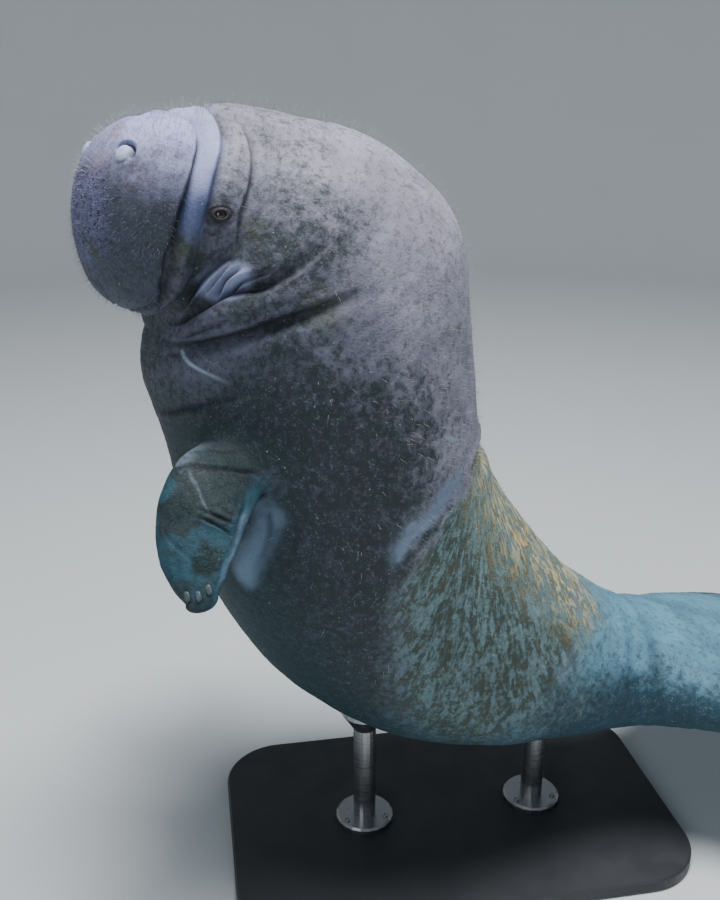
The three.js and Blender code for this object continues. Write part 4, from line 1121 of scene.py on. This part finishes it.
# Nails: three blunt worn plates of horn on the upper face of each flipper's tip, let into the skin, with
# growth lines across them. They stand in the places of the part's own nails.
NAIL = {"length": 0.017, "width": 0.010, "thickness": 0.005}
NAIL_SEGMENTS = 40
NAIL_FIT = 0.97
NAIL_BLUNTNESS = 0.82
GROWTH_LINES = {"height": 0.035, "pace": 24, "end": 0.95, "fade": 0.3}
NAIL_SHARES = (0.93, 0.965, 0.93)
nail_finish = finish("nail", 0.45, Specular_IOR_Level=0.45)
horn = mottled(320, 4, paint(48, 68, 76), paint(72, 90, 94))
wear(Base_Color=blend(span(noise(90, 3), 0.45, 0.6, 0, 0.6), horn, paint(46, 56, 54)),
     Normal=bumped(noise(700, 3), 0.0002, 0.5))
for side, side_name in ((1, "left"), (-1, "right")):
    for k, u in enumerate(NAIL_SHARES):
        name = f"nail_{side_name}_{k + 1}"
        _, along_way, across_way, out_way, *_ = (v[0] for v in flipper_frame(np.array([u]), side))
        nail_mesh, unit = ball(name, NAIL_SEGMENTS, nail_finish)
        reach = np.abs(unit[:, 1])
        lines = 1 + (GROWTH_LINES["height"] * np.cos(unit[:, 1] * GROWTH_LINES["pace"])
                     * ease((GROWTH_LINES["end"] - reach) / GROWTH_LINES["fade"]))
        blunt = np.sign(unit) * np.abs(unit) ** NAIL_BLUNTNESS
        shaped = np.column_stack([blunt[:, 0] * NAIL["width"], blunt[:, 1] * NAIL["length"],
                                  unit[:, 2] * lines * NAIL["thickness"]]) * NAIL_FIT / 2
        middle = np.mean(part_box(name), axis=0)
        set_points(nail_mesh, middle + shaped @ np.array([across_way, -along_way, out_way]))
        nail = mesh_object("horn_" + name, nail_mesh)
        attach(nail, "root")
        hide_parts(name)

# Hairs: a manatee wears single stiff hairs a few centimetres apart over its whole body, longer ones on the
# crown, and short thick bristles on the front of its muzzle. Each is a thin tapered stem set in the skin.
HAIR_SIDES = 3
HAIR_RINGS = 4
HAIR_SHIFT = 0.0026
HAIR_SWAY = 0.35
HAIR_BEND = 0.45
HAIR_TAPER = 0.9
PATCH = 0.003
dice = np.random.default_rng(7)
hair_points = mesh_points(hide.data)
hair_out = read_all(hide.data.vertices, "normal", 3)
room_share = np.zeros(len(hair_points))
np.add.at(room_share, corner_vertex, (read_all(hide.data.polygons, "area") / sizes)[face])
quiet = (1 - marked["lid_shade"]) * (1 - marked["plug"]) * (1 - marked["slit"]) * (1 - marked["crease"]).clip(0, 1)


def across_skin(ways, out):
    """Ways with what leads in or out of the skin taken off."""
    return ways - out * np.einsum("ij,ij->i", ways, out)[:, None]


def stems(name, chance, count, length, radius, lean, material):
    """One mesh of single hairs: where they grow, how many, the range of lengths, root radius and lean."""
    chance = chance * room_share * quiet
    roots = dice.choice(len(chance), size=count, replace=False, p=chance / chance.sum())
    out = hair_out[roots]
    start = hair_points[roots] + across_skin(dice.uniform(-HAIR_SHIFT, HAIR_SHIFT, (count, 3)), out)
    lengths = dice.uniform(*length, count)
    sway = across_skin(dice.normal(0, HAIR_SWAY, (count, 3)) + np.array(lean), out)
    side_way = np.cross(out, np.array([0.31, 0.52, 0.79]))
    side_way /= np.linalg.norm(side_way, axis=1)[:, None]
    other_way = np.cross(out, side_way)
    rings = []
    for f in np.arange(HAIR_RINGS) / (HAIR_RINGS - 1):
        spine = start + out * (lengths * f - radius)[:, None] + sway * (lengths * HAIR_BEND * f * f)[:, None]
        for a in np.arange(HAIR_SIDES) * 2 * np.pi / HAIR_SIDES:
            rings.append(spine + (side_way * math.cos(a) + other_way * math.sin(a)) * (radius * (1 - HAIR_TAPER * f)))
    size = HAIR_RINGS * HAIR_SIDES
    quads = ring_quads(HAIR_RINGS, HAIR_SIDES)
    one = np.vstack([[(0, 2, 1), (size - 3, size - 2, size - 1)], quads[:, [[0, 1, 2], [0, 2, 3]]].reshape(-1, 3)])
    faces = (one[None] + size * np.arange(count)[:, None, None]).reshape(-1, 3)
    mesh = new_mesh(name, np.stack(rings, 1).reshape(-1, 3), faces.tolist())
    root_place = on_unwrap(part[roots], part_a[roots], part_b[roots]) * (1 - PATCH)
    p = np.arange(size)
    corner = np.column_stack([p // HAIR_SIDES / (HAIR_RINGS - 1), p % HAIR_SIDES / HAIR_SIDES]) * PATCH
    places = (root_place[:, None, None, :] + corner[one][None]).reshape(-1, 2)
    mesh.uv_layers.new(name="OFBake").data.foreach_set("uv", places.astype(np.float32).ravel())
    mesh.materials.append(material)
    mesh.shade_smooth()
    piece = mesh_object(name, mesh)
    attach(piece, "root")


pale_hair = finish("pale_hair", 0.5, Specular_IOR_Level=0.3)
wear(Base_Color=mottled(180, 2, paint(160, 160, 160), paint(216, 216, 212)))
dark_bristle = finish("muzzle_bristle", 0.5, Specular_IOR_Level=0.3)
wear(Base_Color=mottled(180, 2, paint(104, 104, 126), paint(158, 160, 180)))
body = (part == 0) & (weight == 0)
from_back = np.degrees(np.pi - np.abs(part_b - np.pi))
muzzle_room = body * (part_a > -0.97)
body_room = body * (part_a > 2.6) * (part_a < 13) * (0.10 + 1 - ease((from_back - 30) / 70))
for name, share in (("muzzle", 1), ("algae", 0.85), ("tail", 1), ("film", 0.55), ("underside_shade", 0.8)):
    body_room = body_room * (1 - share * marked[name].clip(0, 1))
crown_room = body * (part_a > -0.75) * (part_a < 3.2) * (1 - ease((from_back - 14) / 26))
stems("body_hairs", body_room, 2600, (0.009, 0.024), 0.00026, (0.15, 0, -0.25), pale_hair)
stems("crown_hairs", crown_room, 300, (0.010, 0.019), 0.00028, (-0.15, 0, 0.2), pale_hair)
stems("muzzle_hairs", muzzle_room * marked["muzzle"], 1500, (0.006, 0.013), 0.00026, (-0.1, 0, -0.5), dark_bristle)
stems("lip_bristles", muzzle_room * marked["disk"], 1100, (0.0018, 0.0038), 0.00048, (-0.2, 0, -0.3), dark_bristle)

# Stand: a flat base plate of dark powder-coated aluminium with turned steel rods screwed to it. Each rod
# has a wide foot and opens into a cup that bears the belly. Their shapes are the part's own.
base_finish = finish("stand_base", 0.5, Specular_IOR_Level=0.45)
wear(Base_Color=mottled(5, 4, paint(44, 46, 50), paint(54, 56, 60)),
     Roughness=span(noise(12, 4), 0.35, 0.65, 0.42, 0.58), Normal=bumped(noise(900, 2), 0.0002, 0.4))
rod_finish = finish("stand_rod", 0.3, Metallic=1.0)
turned = node("Mapping", "Vector", {"Vector": node("TexCoord", "Object", {}), "Scale": (6, 6, 900)})
lathe = noise(1.0, 3, where=turned)
wear(Base_Color=blend(lathe, paint(150, 152, 156), paint(186, 188, 190)),
     Roughness=span(lathe, 0.3, 0.7, 0.24, 0.40), Normal=bumped(lathe, 0.00015, 0.5))
for name, material in (("stand_base", base_finish), ("stand_rod_front", rod_finish), ("stand_rod_rear", rod_finish)):
    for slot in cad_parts[name].material_slots:
        slot.material = material

# Screws: three stainless cap screws with a hexagon socket hold each rod's foot to the base.
# Each is turned as rings, and the rings of the socket are six-sided.
SCREW = {"ring": 0.048, "radius": 0.0055, "height": 0.0032, "socket": 0.0026, "sunk": 0.0022, "edge": 0.0007,
         "root": 0.001}
FOOT_TOP = 0.0443
SCREW_SIDES = 36
screw_rings = [(SCREW["radius"], -SCREW["root"], False), (SCREW["radius"], SCREW["height"] - SCREW["edge"], False),
               (SCREW["radius"] - SCREW["edge"], SCREW["height"], False), (SCREW["socket"], SCREW["height"], True),
               (SCREW["socket"], SCREW["height"] - SCREW["sunk"], True)]
screw_finish = finish("screw", 0.28, Metallic=1.0)
wear(Base_Color=mottled(400, 3, paint(132, 134, 138), paint(170, 172, 176)),
     Roughness=span(noise(260, 3), 0.35, 0.65, 0.2, 0.4))
turn = np.arange(SCREW_SIDES) * 2 * np.pi / SCREW_SIDES
wedge = (turn + np.pi / 6) % (np.pi / 3) - np.pi / 6
for rod_name, rod_x in (("front", -0.190), ("rear", 0.190)):
    points, faces = [], []
    for way in np.radians([90, 210, 330]):
        start = len(points)
        for radius, z, hexagon in screw_rings:
            r = radius / np.cos(wedge) if hexagon else radius
            points += np.column_stack([rod_x + SCREW["ring"] * np.cos(way) + r * np.cos(turn),
                                       SCREW["ring"] * np.sin(way) + r * np.sin(turn),
                                       np.full(SCREW_SIDES, FOOT_TOP + z)]).tolist()
        faces += (ring_quads(len(screw_rings), SCREW_SIDES) + start).tolist()
        faces += [list(range(start, start + SCREW_SIDES))[::-1], list(range(len(points) - SCREW_SIDES, len(points)))]
    screw_mesh = new_mesh("screws", points, faces)
    screw_mesh.materials.append(screw_finish)
    screws = mesh_object(f"stand_screws_{rod_name}", screw_mesh)
    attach(screws, "root")


# Floor and light: a plain pale studio floor that curves up into a wall, one broad soft light overhead,
# as daylight falls through water, and a weak even light from all round.
FLOOR_RADIUS = 7.0
SWEEP_RADIUS = 2.5
WALL_TOP = 7.0
FLOOR_SIDES = 96
profile = [(FLOOR_RADIUS, 0.0)] + [
    (FLOOR_RADIUS + SWEEP_RADIUS * math.sin(a), SWEEP_RADIUS * (1 - math.cos(a)))
    for a in np.linspace(0, np.pi / 2, 13)[1:]] + [(FLOOR_RADIUS + SWEEP_RADIUS, WALL_TOP)]
sides = np.arange(FLOOR_SIDES) * 2 * np.pi / FLOOR_SIDES
points = [(0.0, 0.0, 0.0)] + [(r * math.cos(a), r * math.sin(a), z) for r, z in profile for a in sides]
faces = [(0, 1 + k, 1 + (k + 1) % FLOOR_SIDES) for k in range(FLOOR_SIDES)]
faces += (ring_quads(len(profile), FLOOR_SIDES)[:, ::-1] + 1).tolist()
floor_mesh = new_mesh("floor", points, faces)
floor_mesh.shade_smooth()
floor_mesh.materials.append(finish("floor", 0.75, Specular_IOR_Level=0.2))
wear(Base_Color=mottled(1.4, 3, paint(206, 212, 216), paint(212, 217, 220)))
mesh_object("floor", floor_mesh)


def soft_light(name, at, toward, size, energy, colour):
    lamp = bpy.data.objects.new(name, bpy.data.lights.new(name, "AREA"))
    lamp.data.shape = "DISK"
    lamp.data.size = size
    lamp.data.energy = energy
    lamp.data.color = colour
    lamp.location = at
    lamp.rotation_euler = (Vector(toward) - Vector(at)).to_track_quat("-Z", "Y").to_euler()
    bpy.context.scene.collection.objects.link(lamp)


soft_light("overhead", (0.15, -0.5, 5.6), (0.05, 0, 0.8), 2.2, 400, (1.0, 0.99, 0.98))
soft_light("front_fill", (-2.8, -2.8, 2.2), (-0.3, 0, 0.9), 2.4, 30, (0.90, 0.95, 1.0))
world = bpy.data.worlds.new("room")
bpy.context.scene.world = world
world.use_nodes = True
world.node_tree.nodes["Background"].inputs["Color"].default_value = paint(214, 222, 230)
world.node_tree.nodes["Background"].inputs["Strength"].default_value = 0.32
